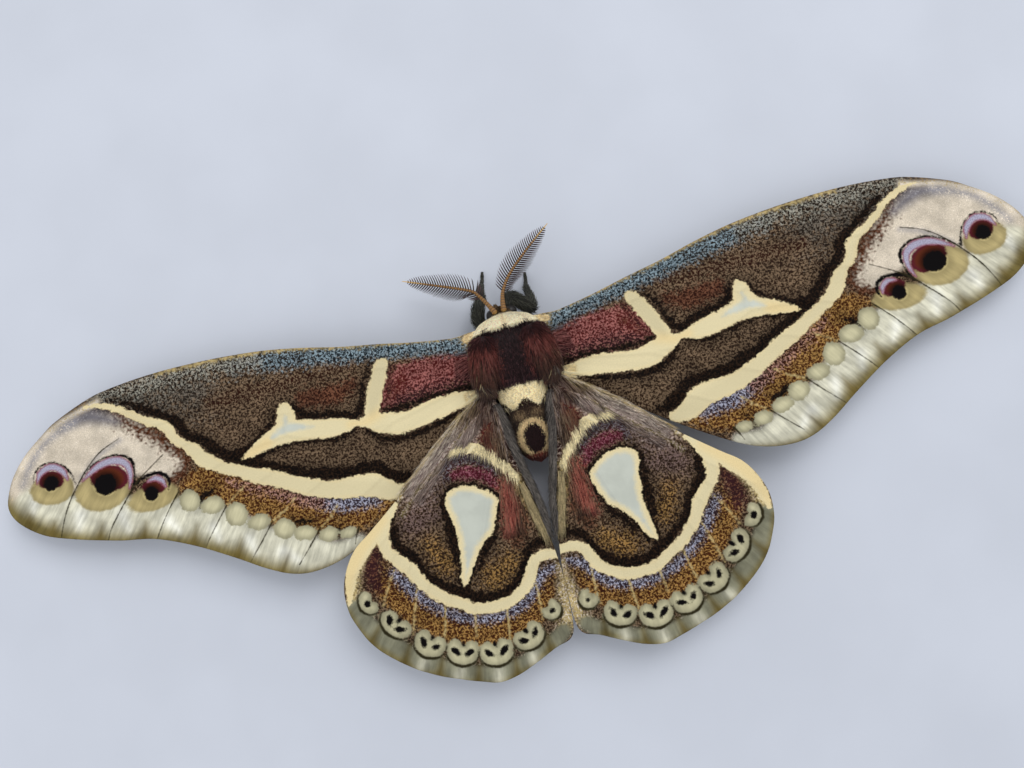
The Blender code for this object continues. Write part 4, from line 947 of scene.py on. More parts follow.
def fold_over(tris, total):
    """Faces of a closed sheet: its top, its bottom and the rim between them."""
    edges = np.vstack((tris[:, (0, 1)], tris[:, (1, 2)], tris[:, (2, 0)]))
    keys = {tuple(edge) for edge in edges}
    rim = np.array([edge for edge in edges if (edge[1], edge[0]) not in keys])
    first, second = rim[:, 0], rim[:, 1]
    upper = np.column_stack((second, first, first + total))
    lower = np.column_stack((second, first + total, second + total))
    sides = np.vstack((upper, lower))
    return np.vstack((tris, tris[:, ::-1] + total, sides)), len(sides)


def build_wing(flat, side, name, painted, relief, sizes, turn=0.0):
    """One wing as a thin closed sheet, with its markings on both faces."""
    chart, tris = flat
    sign = SIDES[side]
    middle, ridge = relief
    half = sizes.membrane / MM / 2.0
    total = len(chart)
    out = sign * chart[:, 0] * (1.0 + (SPREAD_LEVEL - middle) / SPREAD_REACH)
    upper = np.column_stack((out, chart[:, 1], middle + half + ridge))
    lower = np.column_stack((out, chart[:, 1], middle - half - ridge * UNDER_RIDGE))
    points = turned(np.vstack((upper, lower)), sign, turn)
    faces, rim_count = fold_over(tris, total)
    if sign < 0:
        faces = faces[:, ::-1]
    low, high = chart.min(0), chart.max(0)
    scale = 0.98 / max(high[0] - low[0], 2.1 * (high[1] - low[1]))
    uv = (chart - low) * scale + 0.01
    corners = np.vstack((uv, uv + (0.0, 0.5)))[faces.ravel()]
    rim_corners = faces[-rim_count:].ravel()
    corners[-3 * rim_count:] = uv[np.where(rim_corners >= total, rim_corners - total, rim_corners)]
    doubled = {key: np.concatenate((values, values)) for key, values in painted.items()}
    plate = np.column_stack((chart, np.full(total, CHART_DEPTH * sign)))
    doubled["chart"] = np.vstack((plate, plate + (0.0, 0.0, UNDER_DEPTH)))
    doubled["under"] = np.repeat((0.0, 1.0), total)
    piece = new_piece(name + "_sheet", points, faces, "scales", corners, **doubled)
    return hand_over(piece, "wing_scales", name)


def turned(points, sign, degrees):
    """Points swung about the hindwing's pivot."""
    angle = math.radians(-sign * degrees)
    pivot = mirrored(HINDWING_PIVOT, sign)
    spin = np.array(((math.cos(angle), -math.sin(angle)), (math.sin(angle), math.cos(angle))))
    points = np.array(points, float)
    points[:, :2] = (points[:, :2] - pivot) @ spin.T + pivot
    return points


def wing_height(chart):
    share = chart[:, 0] / WING_SPAN
    return WING_ROOT_HEIGHT - WING_DROOP[0] * share - WING_DROOP[1] * share**2


def hindwing_height(chart):
    fall = rise(chart[:, 1], HINDWING_FALL_FROM, HINDWING_REAR)
    return wing_height(chart) + HINDWING_LIFT - HINDWING_FALL * fall


def wing_material(colours):
    """Sprinkled scales and smooth pleated margins, with slightly ragged markings over them."""
    paint = Paint("scales")
    chart = paint.attribute("chart", "Vector")
    grain = paint.noise(chart, *WING_NOISE["grain"])
    fine = paint.noise(chart, *WING_NOISE["fine"])
    broad = paint.noise(chart, *WING_NOISE["broad"])
    pleats = paint.noise(paint.attribute("fan", "Vector"), *WING_NOISE["pleats"])
    wobble = paint.math("MULTIPLY_ADD", paint.noise(chart, *WING_NOISE["ragged"]), 0.9, -0.45)

    def mask(layer, soft=None):
        feather, softness = LAYER_EDGES[layer]
        field = paint.math("MULTIPLY_ADD", wobble, feather, paint.attribute(layer))
        return paint.ramp(field, -(soft or softness), soft or softness, 1.0, 0.0)

    def shaded(tint, field, *between):
        """A tint made lighter or darker from one value of a marking's field to another."""
        return paint.shade(tint, paint.ramp(paint.attribute(field), *between))

    # Ground: scales of a second colour, the smooth margin with painted light and shade of its folds, and the
    # shadow beside the dark lines
    density = paint.attribute("speck", "Alpha")
    smooth = paint.ramp(density, 0.0, 0.26, 1.0, 0.0)
    threshold = paint.math("MULTIPLY_ADD", density, -0.3, 0.665)
    above = paint.math("SUBTRACT", grain, threshold)
    sprinkle = paint.math("MULTIPLY", paint.ramp(above, -0.07, 0.07), paint.ramp(density, 0.02, 0.2))
    base = paint.mix(sprinkle, paint.attribute("ground", "Color"), paint.attribute("speck", "Color"))
    base = paint.shade(base, paint.vary(broad, 0.84, 1.14))
    rough = paint.vary(fine, 0.8, 1.2)
    # Painted light and shade of the margin's folds, partly real streaks: where the scales are smooth, the
    # pleat noise takes the place of the fine mottle
    fold_shade = paint.math("SUBTRACT", paint.vary(pleats, 0.76, 1.2), rough)
    base = paint.shade(base, paint.math("MULTIPLY_ADD", smooth, fold_shade, rough))
    halo = paint.math("MULTIPLY_ADD", wobble, 1.5, paint.attribute("black"))
    base = paint.shade(base, paint.ramp(halo, 0.0, 1.5, 0.66, 1.0))

    # Bands and windows
    dust = paint.shade(colours.brown, paint.ramp(grain, 0.45, 0.62, 0.12, 1.0))
    base = paint.mix(mask("black"), base, dust)
    edge = paint.ramp(paint.attribute("cream"), -0.42, -0.05)
    warm = paint.math("MAXIMUM", paint.math("MULTIPLY", edge, 0.4), paint.attribute("honey"))
    cream = paint.shade(paint.mix(warm, colours.cream, colours.honey), paint.vary(fine, 0.9, 1.06))
    base = paint.mix(mask("cream"), base, cream)
    base = paint.mix(mask("window"), base, paint.shade(colours.window, paint.vary(broad, 0.95, 1.05)))

    # Cells and eyespots
    shell = shaded(colours.shell, "shell", -0.7, 0.0, 1.04, 0.6)
    base = paint.mix(mask("shell"), base, paint.shade(shell, paint.vary(pleats, 0.84, 1.08)))
    ring = shaded(colours.ring, "ring", -0.6, 0.0, 1.06, 0.82)
    ring = shaded(ring, "ink", 0.2, 1.1, 0.8, 1.06)
    ring = shaded(ring, "ink", 0.08, 0.26, 1.3, 1.0)
    base = paint.mix(mask("ring"), base, paint.shade(ring, paint.vary(pleats, 0.86, 1.12)))
    rust = paint.mix(paint.ramp(paint.attribute("rust"), -0.55, -0.05), colours.rust, colours.crimson)
    base = paint.mix(mask("rust"), base, shaded(rust, "ink", 0.0, 0.7, 0.35, 1.25))
    base = paint.mix(mask("ink"), base, colours.ink)
    lilac = paint.mix(paint.ramp(paint.attribute("lilac"), -0.3, 0.02), colours.lilac, colours.blush)
    lilac = paint.shade(lilac, paint.ramp(fine, 0.35, 0.65, 0.66, 1.2))
    base = paint.mix(mask("lilac"), base, lilac)
    base = paint.mix(mask("pencil"), base, colours.pencil)

    # Shade and underside
    base = paint.shade(base, paint.attribute("shade"))
    dull = paint.math("MULTIPLY", paint.attribute("under"), 0.5)
    base = paint.mix(dull, base, colours.under)
    height = paint.math("MULTIPLY_ADD", grain, 0.7, fine)
    height = paint.math("MULTIPLY_ADD", smooth, pleats, height)
    paint.bump(height, 0.04, 0.7)
    roughness = paint.math("MULTIPLY_ADD", mask("window", GLASS_SOFTNESS), -0.3, 0.68)
    return paint.finish(base, roughness, Specular_IOR_Level=0.06)


# Tufts of hair

TUFT_SHARES = {2: (0.0, 0.5), 3: (0.0, 0.36, 0.7), 5: (0.0, 0.22, 0.44, 0.66, 0.86)}
PATCH = 0.0015
ROOT_DEPTH = 0.05


def tuft_faces(rings):
    faces = []
    for ring in range(rings - 1):
        for side in range(3):
            low, after = 3 * ring + side, 3 * ring + (side + 1) % 3
            faces += [(low, after, after + 3), (low, after + 3, low + 3)]
    top = 3 * (rings - 1)
    faces += [(top, top + 1, 3 * rings), (top + 1, top + 2, 3 * rings), (top + 2, top, 3 * rings), (0, 2, 1)]
    return np.array(faces)


def tufts(roots, normals, headings, lengths, widths, lifts, bend=0.35, rings=3, thickness=0.6, sway=0.0):
    """Points, triangles and share along its length of closed, tapered, bent blades."""
    along = unit(headings - normals * np.sum(headings * normals, axis=1, keepdims=True))
    across = np.cross(along, normals)
    shares = np.array(TUFT_SHARES[rings])
    corners = ((-0.5, 0.0), (0.5, 0.0), (0.0, thickness))
    points = np.empty((len(roots), 3 * rings + 1, 3))
    sways = np.broadcast_to(sway, len(roots))

    def middle(share):
        forward = (np.cos(lifts) * share)[:, None] * along
        upward = (np.sin(lifts) * share - bend * np.sin(lifts) * share**2)[:, None] * normals
        aside = (sways * share**2)[:, None] * across
        return roots + lengths[:, None] * (forward + upward + aside)

    for ring, share in enumerate(shares):
        centre = middle(share)
        width = (widths * (1.0 - share) ** 0.6)[:, None]
        for corner, (aside, above) in enumerate(corners):
            points[:, 3 * ring + corner] = centre + width * (aside * across + above * normals)
    points[:, -1] = middle(1.0)
    template = tuft_faces(rings)
    faces = template[None] + (np.arange(len(roots)) * (3 * rings + 1))[:, None, None]
    along_share = np.append(np.repeat(shares, 3), 1.0)
    return points, faces.reshape(-1, 3), along_share


def tuft_piece(name, material, roots, uv, tints, dark=0.55, **shape):
    """A piece of many tufts, each with its own colour and its own small patch of the bake map."""
    points, faces, share = tufts(roots, **shape)
    number, per_tuft = points.shape[:2]
    # Painted shade deep in the coat: each tuft is darker towards its root, down to dark times its tint, and
    # painted a little lighter at its tip
    shade = dark + (1.1 - dark) * smooth_step(share / 0.6)
    tint = np.ones((number, per_tuft, 4))
    tint[..., :3] = tints[:, None, :] * shade[None, :, None]
    side = np.append(np.tile((-1.0, 1.0, 0.0), (per_tuft - 1) // 3), 0.0)
    spread = np.column_stack((side, 2.0 * share - 1.0)) * PATCH
    patches = uv[:, None, :] + spread[None]
    tint = tint.reshape(-1, 4)
    return new_piece(name, points.reshape(-1, 3), faces, material, patches.reshape(-1, 2), tint=tint)


def gathered(roots, headings, lengths, rng, locks, pull):
    """Headings turned so that the tips of neighbouring tufts draw together into locks."""
    tips = roots + unit(headings) * lengths[:, None]
    leaders = rng.choice(len(roots), locks, replace=False)
    near = nearest_of(roots, roots[leaders])[0]
    target = tips[leaders][near]
    return unit(tips + pull * (target - tips) - roots)


def two_tone(rng, number, first, second, share=0.5):
    """Colours drawn between two, most of them near the first."""
    weight = rng.random(number) ** (1.0 / max(share, TINY) - 1.0 + TINY)
    mixed = blend(np.tile(first, (number, 1)), second, weight)
    return mixed * rng.uniform(0.85, 1.15, (number, 1))


def fur_material(name):
    """Hair: its own tint with fine streaks of light and dark."""
    paint = Paint(name)
    place = paint.place()
    streaks = paint.noise(place, 6.0, 3.0, 0.6)
    cloud = paint.noise(place, 0.7, 2.0, 0.5)
    base = paint.shade(paint.attribute("tint", "Color"), paint.vary(streaks, 0.78, 1.22))
    base = paint.shade(base, paint.vary(cloud, 0.92, 1.08))
    paint.bump(streaks, 0.02, 0.5)
    return paint.finish(base, 0.75, Specular_IOR_Level=0.1, Sheen_Weight=0.04, Sheen_Roughness=0.5)


# Trunk: aft, half width, half height, height of centre

TRUNK = (
    (-1.85, 0.3, 0.3, 4.1), (-1.6, 0.75, 0.8, 4.15), (-1.25, 1.05, 1.2, 4.35), (-0.9, 1.25, 1.45, 4.6),
    (-0.65, 1.45, 1.65, 4.8), (-0.35, 1.95, 2.2, 5.05), (0.3, 2.75, 2.8, 5.2), (0.9, 3.3, 3.05, 5.3),
    (1.3, 3.5, 3.15, 5.3), (3.0, 3.65, 3.4, 5.4), (5.0, 3.6, 3.4, 5.4), (6.6, 3.3, 3.1, 5.3),
    (7.5, 2.9, 2.75, 5.1), (8.6, 2.7, 2.45, 4.7), (9.8, 2.5, 2.2, 4.1), (11.4, 2.7, 2.3, 3.8),
    (13.4, 2.3, 2.05, 3.5), (14.8, 1.4, 1.3, 3.3), (15.4, 0.4, 0.4, 3.2),
)
TRUNK_ROWS = smooth_line(TRUNK, 0.1)
SKIN_INSET = 0.12
SKIN_RINGS = 220
SKIN_SIDES = 112
COLLAR_PAD = 0.62
COLLAR_NOTCHES = ((0.0, 0.14, 0.85), (0.68, 0.09, 0.5))
SKIN_STEP = 0.02

TEGULA_RADII = (1.6, 2.5, 1.0)
TEGULA_CENTRE = (3.0, 3.6, 7.35)
TEGULA_LEAN = 34.0
TEGULA_SPLAY = 12.0
TEGULA_SHRINK = 0.92
TEGULA_ROUND = math.radians(105)
TEGULA_TUFTS = 5200
TEGULA_LOCKS = 150


def trunk_points(aft, angle):
    """Points on the trunk; angle is 0 on top and grows towards the moth's left."""
    places = np.maximum.accumulate(TRUNK_ROWS[:, 0])
    aft = np.clip(aft, places[0], places[-1])
    row = sampled(TRUNK_ROWS, places, aft)
    swell = COLLAR_PAD * rise(aft, -0.75, 0.1) * (1.0 - rise(aft, 0.8, 1.5)) * rise(np.cos(angle), -0.4, 0.5)
    for place, width, depth in COLLAR_NOTCHES:
        swell = swell * (1.0 - depth * np.exp(-(((np.abs(np.sin(angle)) - place) / width) ** 2)))
    swell = swell - SKIN_INSET
    x = (row[..., 1] + swell) * np.sin(angle)
    z = row[..., 3] + (row[..., 2] + swell) * np.cos(angle)
    return np.stack((x, aft, z), axis=-1)


def trunk_frame(aft, angle):
    """Points on the trunk with their outward normals."""
    point = trunk_points(aft, angle)
    along = trunk_points(aft + SKIN_STEP, angle) - trunk_points(aft - SKIN_STEP, angle)
    round_it = trunk_points(aft, angle + SKIN_STEP) - trunk_points(aft, angle - SKIN_STEP)
    return point, unit(np.cross(along, round_it))


def trunk_uv(aft, angle):
    front, back = TRUNK[0][0], TRUNK[-1][0]
    across = inset(0.5 + angle / math.tau, 0.01)
    return np.stack((across, inset((aft - front) / (back - front), 0.01)), axis=-1)


def collar_back(out):
    """Rear edge of the collar, which ends in lobes."""
    return 0.72 + 0.38 * np.exp(-(((out - 0.95) / 0.6) ** 2)) + 0.12 * rise(out, 2.3, 2.8)


def trunk_tints(point, angle, fur, rng):
    """Colour of the coat at places on the trunk."""
    number = len(point)
    out, aft = np.abs(point[:, 0]), point[:, 1]
    out = out + rng.normal(0.0, 0.1, number)
    aft = aft + rng.normal(0.0, 0.08, number)
    low = rise(np.abs(angle), math.radians(85), math.radians(115))

    def shades(first, second, share=0.4):
        return two_tone(rng, number, getattr(fur, first), getattr(fur, second), share)

    tints = shades("brow", "brow_light")
    cream = shades("collar", "collar_shade", 0.25)
    # Painted shade, a little warmer in tone, in the notches between the collar's lobes
    notch_shade = np.exp(-((np.sin(angle) / 0.1) ** 2))
    notch_shade = notch_shade + 0.7 * np.exp(-(((np.abs(np.sin(angle)) - COLLAR_NOTCHES[1][0]) / 0.07) ** 2))
    cream = blend(cream, shades("ring", "collar_shade"), 0.55 * notch_shade)
    tints = blend(tints, cream, rise(aft, -0.8, -0.6))
    maroon = shades("maroon", "maroon_light", 0.4)
    out_soft = out + rng.normal(0.0, 0.25, number)
    middle = 1.0 - rise(out_soft, 1.0, 1.7)
    shoulder = 1.0 - rise(aft, 1.9, 2.6)
    rear = rise(aft, 5.0, 6.0)
    dark = np.maximum(np.maximum(middle, shoulder), rear * (1.0 - rise(out, 2.4, 2.8)))
    thorax = blend(maroon, shades("black_brown", "sheen", 0.25), dark)
    collar = collar_back(np.abs(point[:, 0]))
    tints = blend(tints, thorax, rise(point[:, 1], collar - 0.02, collar + 0.06))
    tints = blend(tints, shades("waist", "waist_light"), rise(aft, 7.15, 7.3))
    notch = 8.3 + 1.15 * np.exp(-(((out - 1.3) / 0.8) ** 2)) + 0.2 * np.exp(-((out / 0.5) ** 2))
    abdomen = shades("abdomen", "abdomen_light", 0.2)
    buff = np.exp(-(((out - 0.9) / 0.6) ** 2)) * rise(aft, 9.6, 10.1) * (1.0 - rise(aft, 10.5, 11.0))
    abdomen = blend(abdomen, shades("abdomen_light", "ring"), buff * 0.6)
    abdomen = blend(abdomen, shades("tail", "maroon_light", 0.2), rise(out, 1.9, 2.3) * rise(aft, 11.5, 12.5))
    oval_out = np.hypot(out / 1.15, (aft - 12.85) / 1.6)
    ring_out = np.hypot(out / 1.85, (aft - 12.75) / 2.1)
    abdomen = blend(abdomen, shades("ring", "waist", 0.3), 1.0 - rise(ring_out, 0.92, 1.02))
    abdomen = blend(abdomen, shades("black_brown", "black_brown"), 1.0 - rise(oval_out, 0.92, 1.04))
    abdomen = blend(abdomen, shades("tail", "maroon_light", 0.2), rise(aft, 14.2, 14.6))
    tints = blend(tints, abdomen, rise(aft, notch, notch + 0.15))
    return blend(tints, shades("belly", "abdomen_light"), low)


# Coat of the trunk: name, slot, first and last aft, number, length, lift in degrees, locks,
# how far the locks pull, brightness of the roots
# The brightness of the roots sets the painted shade deep in each coat
COATS = (
    ("head_fur", "dark_fur", -1.75, -0.5, 4600, 0.6, 34.0, 260, 0.4, 0.45),
    ("collar_plush", "cream_fur", -0.72, 1.4, 17000, 0.5, 16.0, 700, 0.35, 1.0),
    ("thorax_fur", "dark_fur", 0.7, 6.4, 12400, 1.9, 15.0, 260, 0.65, 0.45),
    ("waist_fur", "cream_fur", 7.0, 9.8, 11500, 1.6, 14.0, 110, 0.65, 0.95),
    ("abdomen_fur", "abdomen_fur", 9.3, 14.7, 12000, 0.8, 15.0, 620, 0.4, 0.75),
)


def along_trunk(front, back, number, rng):
    """Places spread evenly over a stretch of the trunk."""
    grid = np.linspace(front, back, 60)
    rows = trunk_points(grid, np.full(60, math.pi / 2))
    girth = np.cumsum(np.abs(rows[:, 0]) + 0.2)
    share = (np.arange(number) + 0.5) / number
    aft = np.interp(share, (girth - girth[0]) / (girth[-1] - girth[0]), grid)
    angle = rng.uniform(-math.pi, math.pi, number)
    return aft + rng.normal(0.0, 0.05, number), angle


def build_skin(fur):
    aft = np.linspace(TRUNK[0][0], TRUNK[-1][0], SKIN_RINGS)
    angle = np.linspace(-math.pi, math.pi, SKIN_SIDES, endpoint=False)
    rows, columns = np.meshgrid(aft, angle, indexing="ij")
    points = trunk_points(rows.ravel(), columns.ravel())
    ring = np.arange(SKIN_SIDES)
    after = (ring + 1) % SKIN_SIDES
    faces = []
    for row in range(SKIN_RINGS - 1):
        low, high = row * SKIN_SIDES, (row + 1) * SKIN_SIDES
        faces.append(np.column_stack((low + ring, low + after, high + after)))
        faces.append(np.column_stack((low + ring, high + after, high + ring)))
    total = len(points)
    nose = np.array((0.0, TRUNK[0][0] - 0.1, TRUNK[0][3]))
    tail = np.array((0.0, TRUNK[-1][0] + 0.15, TRUNK[-1][3]))
    last = (SKIN_RINGS - 1) * SKIN_SIDES
    faces.append(np.column_stack((after, ring, np.full(SKIN_SIDES, total))))
    faces.append(np.column_stack((last + ring, last + after, np.full(SKIN_SIDES, total + 1))))
    faces = np.vstack(faces)
    rng = np.random.default_rng(SEEDS["skin"])
    tint = np.ones((total + 2, 4))
    seen = trunk_tints(points, columns.ravel(), fur, rng)
    # Painted shade under the coat: the skin is darker than the fur over it, less so under pale fur
    tint[:total, :3] = seen * (0.6 + 0.35 * rise(seen.mean(axis=1), 0.3, 0.5))[:, None]
    tint[total:, :3] = fur.tail
    uv = trunk_uv(rows.ravel(), columns.ravel())
    uv = np.vstack((uv, ((0.5, 0.0), (0.5, 1.0))))[faces.ravel()].reshape(-1, 3, 2)
    wrapped = np.ptp(uv[..., 0], axis=1) > 0.5
    uv[wrapped, :, 0] += (uv[wrapped, :, 0] < 0.5) * 0.98
    points = np.vstack((points, nose, tail))
    piece = new_piece("body_skin", points, faces, "fur", uv.reshape(-1, 2), tint=tint)
    return hand_over(piece, "dark_fur", "head", "collar", "thorax", "waist", "abdomen")


def build_coat(row, fur, sizes, seed):
    name, slot, front, back, number, reach, lift, locks, pull, dark = row
    rng = np.random.default_rng(seed)
    aft, angle = along_trunk(front, back, number, rng)
    points, normals = trunk_frame(aft, angle)
    behind = points[:, 1] - collar_back(np.abs(points[:, 0]))
    kept = {"collar_plush": behind < 0.04, "thorax_fur": behind > 0.02}.get(name, behind < FAR)
    aft, angle, points, normals, behind = (rows[kept] for rows in (aft, angle, points, normals, behind))
    number = len(aft)
    fan = 0.22 * np.sin(angle)
    headings = np.column_stack((fan, np.ones(number), -0.05 * np.ones(number)))
    lengths = reach * rng.uniform(0.7, 1.25, number)
    if name == "waist_fur":
        lengths *= 0.75 + 0.5 * np.exp(-(((np.abs(points[:, 0]) - 1.5) / 0.8) ** 2))
    if name == "head_fur":
        headings[:, 1] *= -1.0
    if name == "thorax_fur":
        out = np.abs(points[:, 0])
        lengths *= 1.0 - 0.35 * rise(aft, 4.5, 6.6) * (1.0 - rise(out, 2.0, 3.0))
        lengths *= 0.35 + 0.65 * rise(behind, 0.0, 0.5)
    headings = gathered(points, headings, lengths, rng, locks, pull)
    widths = sizes.hair_width / MM * rng.uniform(0.7, 1.3, number)
    lifts = np.radians(lift * rng.uniform(0.5, 1.4, number))
    tints = trunk_tints(points, angle, fur, rng)
    piece = tuft_piece(
        name,
        "fur",
        points - normals * ROOT_DEPTH,
        trunk_uv(aft, angle),
        tints,
        normals=normals,
        headings=headings,
        lengths=lengths,
        widths=widths,
        lifts=lifts,
        rings=2 if reach < 1.2 else 3,
        sway=rng.normal(0.0, 0.06, number),
        dark=dark,
    )
    return hand_over(piece, slot)


def tegula_frame(side, around, along):
    """Places on the upper side of the flap over the wing root, with normals."""
    sign = SIDES[side]
    lean = Matrix.Rotation(math.radians(sign * TEGULA_LEAN), 3, "Y")
    splay = Matrix.Rotation(math.radians(-sign * TEGULA_SPLAY), 3, "Z")
    turn = np.array(splay @ lean)
    girth = np.sqrt(np.maximum(0.0, 1.0 - along**2))
    ball = np.column_stack((sign * girth * np.sin(around), along, girth * np.cos(around)))
    radii = np.array(TEGULA_RADII) * TEGULA_SHRINK
    centre = mirrored(TEGULA_CENTRE, sign)
    return centre + (ball * radii) @ turn.T, unit((ball / radii) @ turn.T)


def build_tegula(side, fur, sizes, seed):
    sign = SIDES[side]
    rng = np.random.default_rng(seed)
    number = TEGULA_TUFTS
    along = np.sin(np.linspace(-1.35, 1.2, number)) + rng.normal(0, 0.01, number)
    around = (golden(number) * 2.0 - 1.0) * TEGULA_ROUND
    along = np.clip(along, -0.98, 0.98)
    roots, normals = tegula_frame(side, around, along)
    share = (around / TEGULA_ROUND + 1.0) / 2.0
    fan = -0.15 + 0.75 * share
    headings = np.column_stack((sign * fan, np.ones(number), -0.16 - 0.1 * share))
    lengths = (1.5 + 1.3 * rise(along, -0.6, 0.6)) * rng.uniform(0.75, 1.2, number)
    headings = gathered(roots, headings, lengths, rng, TEGULA_LOCKS, 0.55)
    outer = rise(share, 0.5, 0.9) * rise(along, -0.3, 0.5)

    def overlaid(tints, first, second, mixed, weight):
        return blend(tints, two_tone(rng, number, first, second, mixed), weight)

    tints = two_tone(rng, number, fur.maroon, fur.maroon_light, 0.42)
    smoky = rise(along + rng.normal(0.0, 0.15, number), -0.35, 0.4)
    tints = overlaid(tints, fur.abdomen_light, fur.belly, 0.45, 0.8 * smoky)
    tints = overlaid(tints, fur.pitch, fur.grey, 0.4, 0.8 * outer)
    inner = 1.0 - rise(share + rng.normal(0.0, 0.05, number), 0.06, 0.2)
    tints = overlaid(tints, fur.black_brown, fur.sheen, 0.3, 0.85 * inner)
    front = 1.0 - rise(along + rng.normal(0.0, 0.1, number), -0.85, -0.55)
    tints = overlaid(tints, fur.black_brown, fur.sheen, 0.3, 0.9 * front)
    tints[rng.random(number) < 0.15] = np.array(fur.black_brown)
    pale = (rng.random(number) < 0.03 + 0.1 * outer) & (share > 0.5)
    tints[pale] = np.array(fur.buff)
    uv = np.column_stack((0.5 + around / math.tau, 0.5 + along * 0.48))
    piece = tuft_piece(
        "tegula_fur_" + side,
        "fur",
        roots,
        uv,
        tints,
        normals=normals,
        headings=headings,
        lengths=lengths,
        widths=sizes.hair_width / MM * rng.uniform(0.7, 1.25, number),
        lifts=np.radians(12.0 * rng.uniform(0.2, 1.6, number)),
        rings=3,
        bend=0.8,
        sway=rng.normal(0.0, 0.07, number),
    )
    return hand_over(piece, "maroon_fur", "tegula_" + side)


def along_band(line, number, rng):
    """Places scattered in a band, and the share along it of each."""
    rows = smooth_line(line, 0.25)
    steps = np.linalg.norm(np.diff(rows[:, :2], axis=0), axis=1)
    area = np.concatenate(((0.0,), np.cumsum(steps * (rows[1:, 2] + rows[:-1, 2]))))
    share = (np.arange(number) + rng.random(number)) / number
    place = np.interp(share, area / area[-1], np.arange(len(rows)))
    low = np.minimum(place.astype(int), len(rows) - 2)
    row = rows[low] + (rows[low + 1] - rows[low]) * (place - low)[:, None]
    along = unit(rows[low + 1, :2] - rows[low, :2])
    across = np.column_stack((-along[:, 1], along[:, 0]))
    offset = (rng.random(number) * 2.0 - 1.0) * row[:, 2]
    return row[:, :2] + across * offset[:, None], share


HAIRS_IN_LOCK = 16


def build_wing_hair(name, side, wing, colours, fur, sizes, seed):
    """Long hair lying on one wing, in the colours of the wing under it unless it has its own."""
    rows, layout, height_of, turn = wing
    sign = SIDES[side]
    rng = np.random.default_rng(seed)
    found = {key: [] for key in ("roots", "headings", "lengths", "tints", "uv")}
    for line, source, reach, number, own in rows:
        chart, _ = along_band(line, number, rng)
        heading = unit(chart - np.array(source))
        lengths = reach * rng.uniform(0.6, 1.2, number)
        roots = np.column_stack((chart, height_of(chart) + ROOT_DEPTH + rng.uniform(0.0, 0.12, number)))
        flat = np.column_stack((heading, np.zeros(number)))
        headings = gathered(roots, flat, lengths, rng, number // HAIRS_IN_LOCK, 0.3)
        if own:
            tints = two_tone(rng, number, getattr(fur, own[0]), getattr(fur, own[1]), 0.4)
        else:
            tints = wing_tint(chart + heading * 0.3, layout, colours, rng)
        found["roots"].append(roots)
        found["headings"].append(headings)
        found["lengths"].append(lengths)
        found["tints"].append(tints)
        found["uv"].append(chart / WING_SPAN * 0.9 + (0.05, 0.2))
    joined = {key: np.concatenate(values) for key, values in found.items()}
    number = len(joined["roots"])
    roots = turned(joined["roots"] * (sign, 1.0, 1.0), sign, turn)
    pivot = mirrored((*HINDWING_PIVOT, 0.0), sign)
    headings = turned(joined["headings"] * (sign, 1.0, 1.0) + pivot, sign, turn) - pivot
    piece = tuft_piece(
        name,
        "fur",
        roots,
        joined["uv"],
        joined["tints"],
        normals=np.tile((0.0, 0.0, 1.0), (number, 1)),
        headings=headings,
        lengths=joined["lengths"],
        widths=sizes.hair_width / MM * rng.uniform(0.35, 0.75, number),
        lifts=np.radians(rng.uniform(1.0, 8.0, number)),
        bend=0.9,
        rings=2,
        sway=rng.normal(0.0, 0.1, number),
        dark=1.0,
    )
    return hand_over(piece, "maroon_fur")


def wing_tint(chart, layout, colours, rng):
    """Colours of a wing at some places, as single scales or hairs show them."""
    painted = wing_paint(chart, *layout, colours)
    chosen = rng.random(len(chart)) < painted["speck"][:, 3]
    tints = np.where(chosen[:, None], painted["speck"][:, :3], painted["ground"][:, :3])
    for layer in ("black", "cream"):
        ragged = painted[layer] + rng.normal(0.0, 0.12, len(chart))
        tints = np.where((ragged < 0.0)[:, None], np.array(getattr(colours, layer)), tints)
    return tints * painted["shade"][:, None] * rng.uniform(0.95, 1.2, (len(chart), 1))


# Feelers, legs and face

FEELER_PATHS = {
    "left": (
        (0.62, -0.9, 6.3), (1.25, -2.2, 5.9), (1.95, -3.4, 5.4), (2.65, -4.15, 5.1), (5.4, -5.5, 4.6),
        (9.6, -7.4, 4.0),
    ),
    "right": (
        (0.32, -0.9, 6.3), (0.47, -2.1, 5.9), (0.8, -3.2, 5.4), (1.9, -4.8, 5.0), (4.1, -6.8, 4.6),
        (7.4, -9.4, 4.0),
    ),
}
SHAFT_RADII = ((0.0, 0.28), (0.1, 0.22), (0.2, 0.17), (0.6, 0.13), (0.9, 0.08), (1.0, 0.03))
SHAFT_JOINTS = 36
SHAFT_ROWS = 6 * SHAFT_JOINTS
SHAFT_SIDES = 12
JOINT_SWELL = 0.14
COMB_FROM = 0.2
COMB_TO = 0.95
COMB_LENGTH = 1.9
COMB_SLANT = 64.0
COMB_WIDTH = 0.12

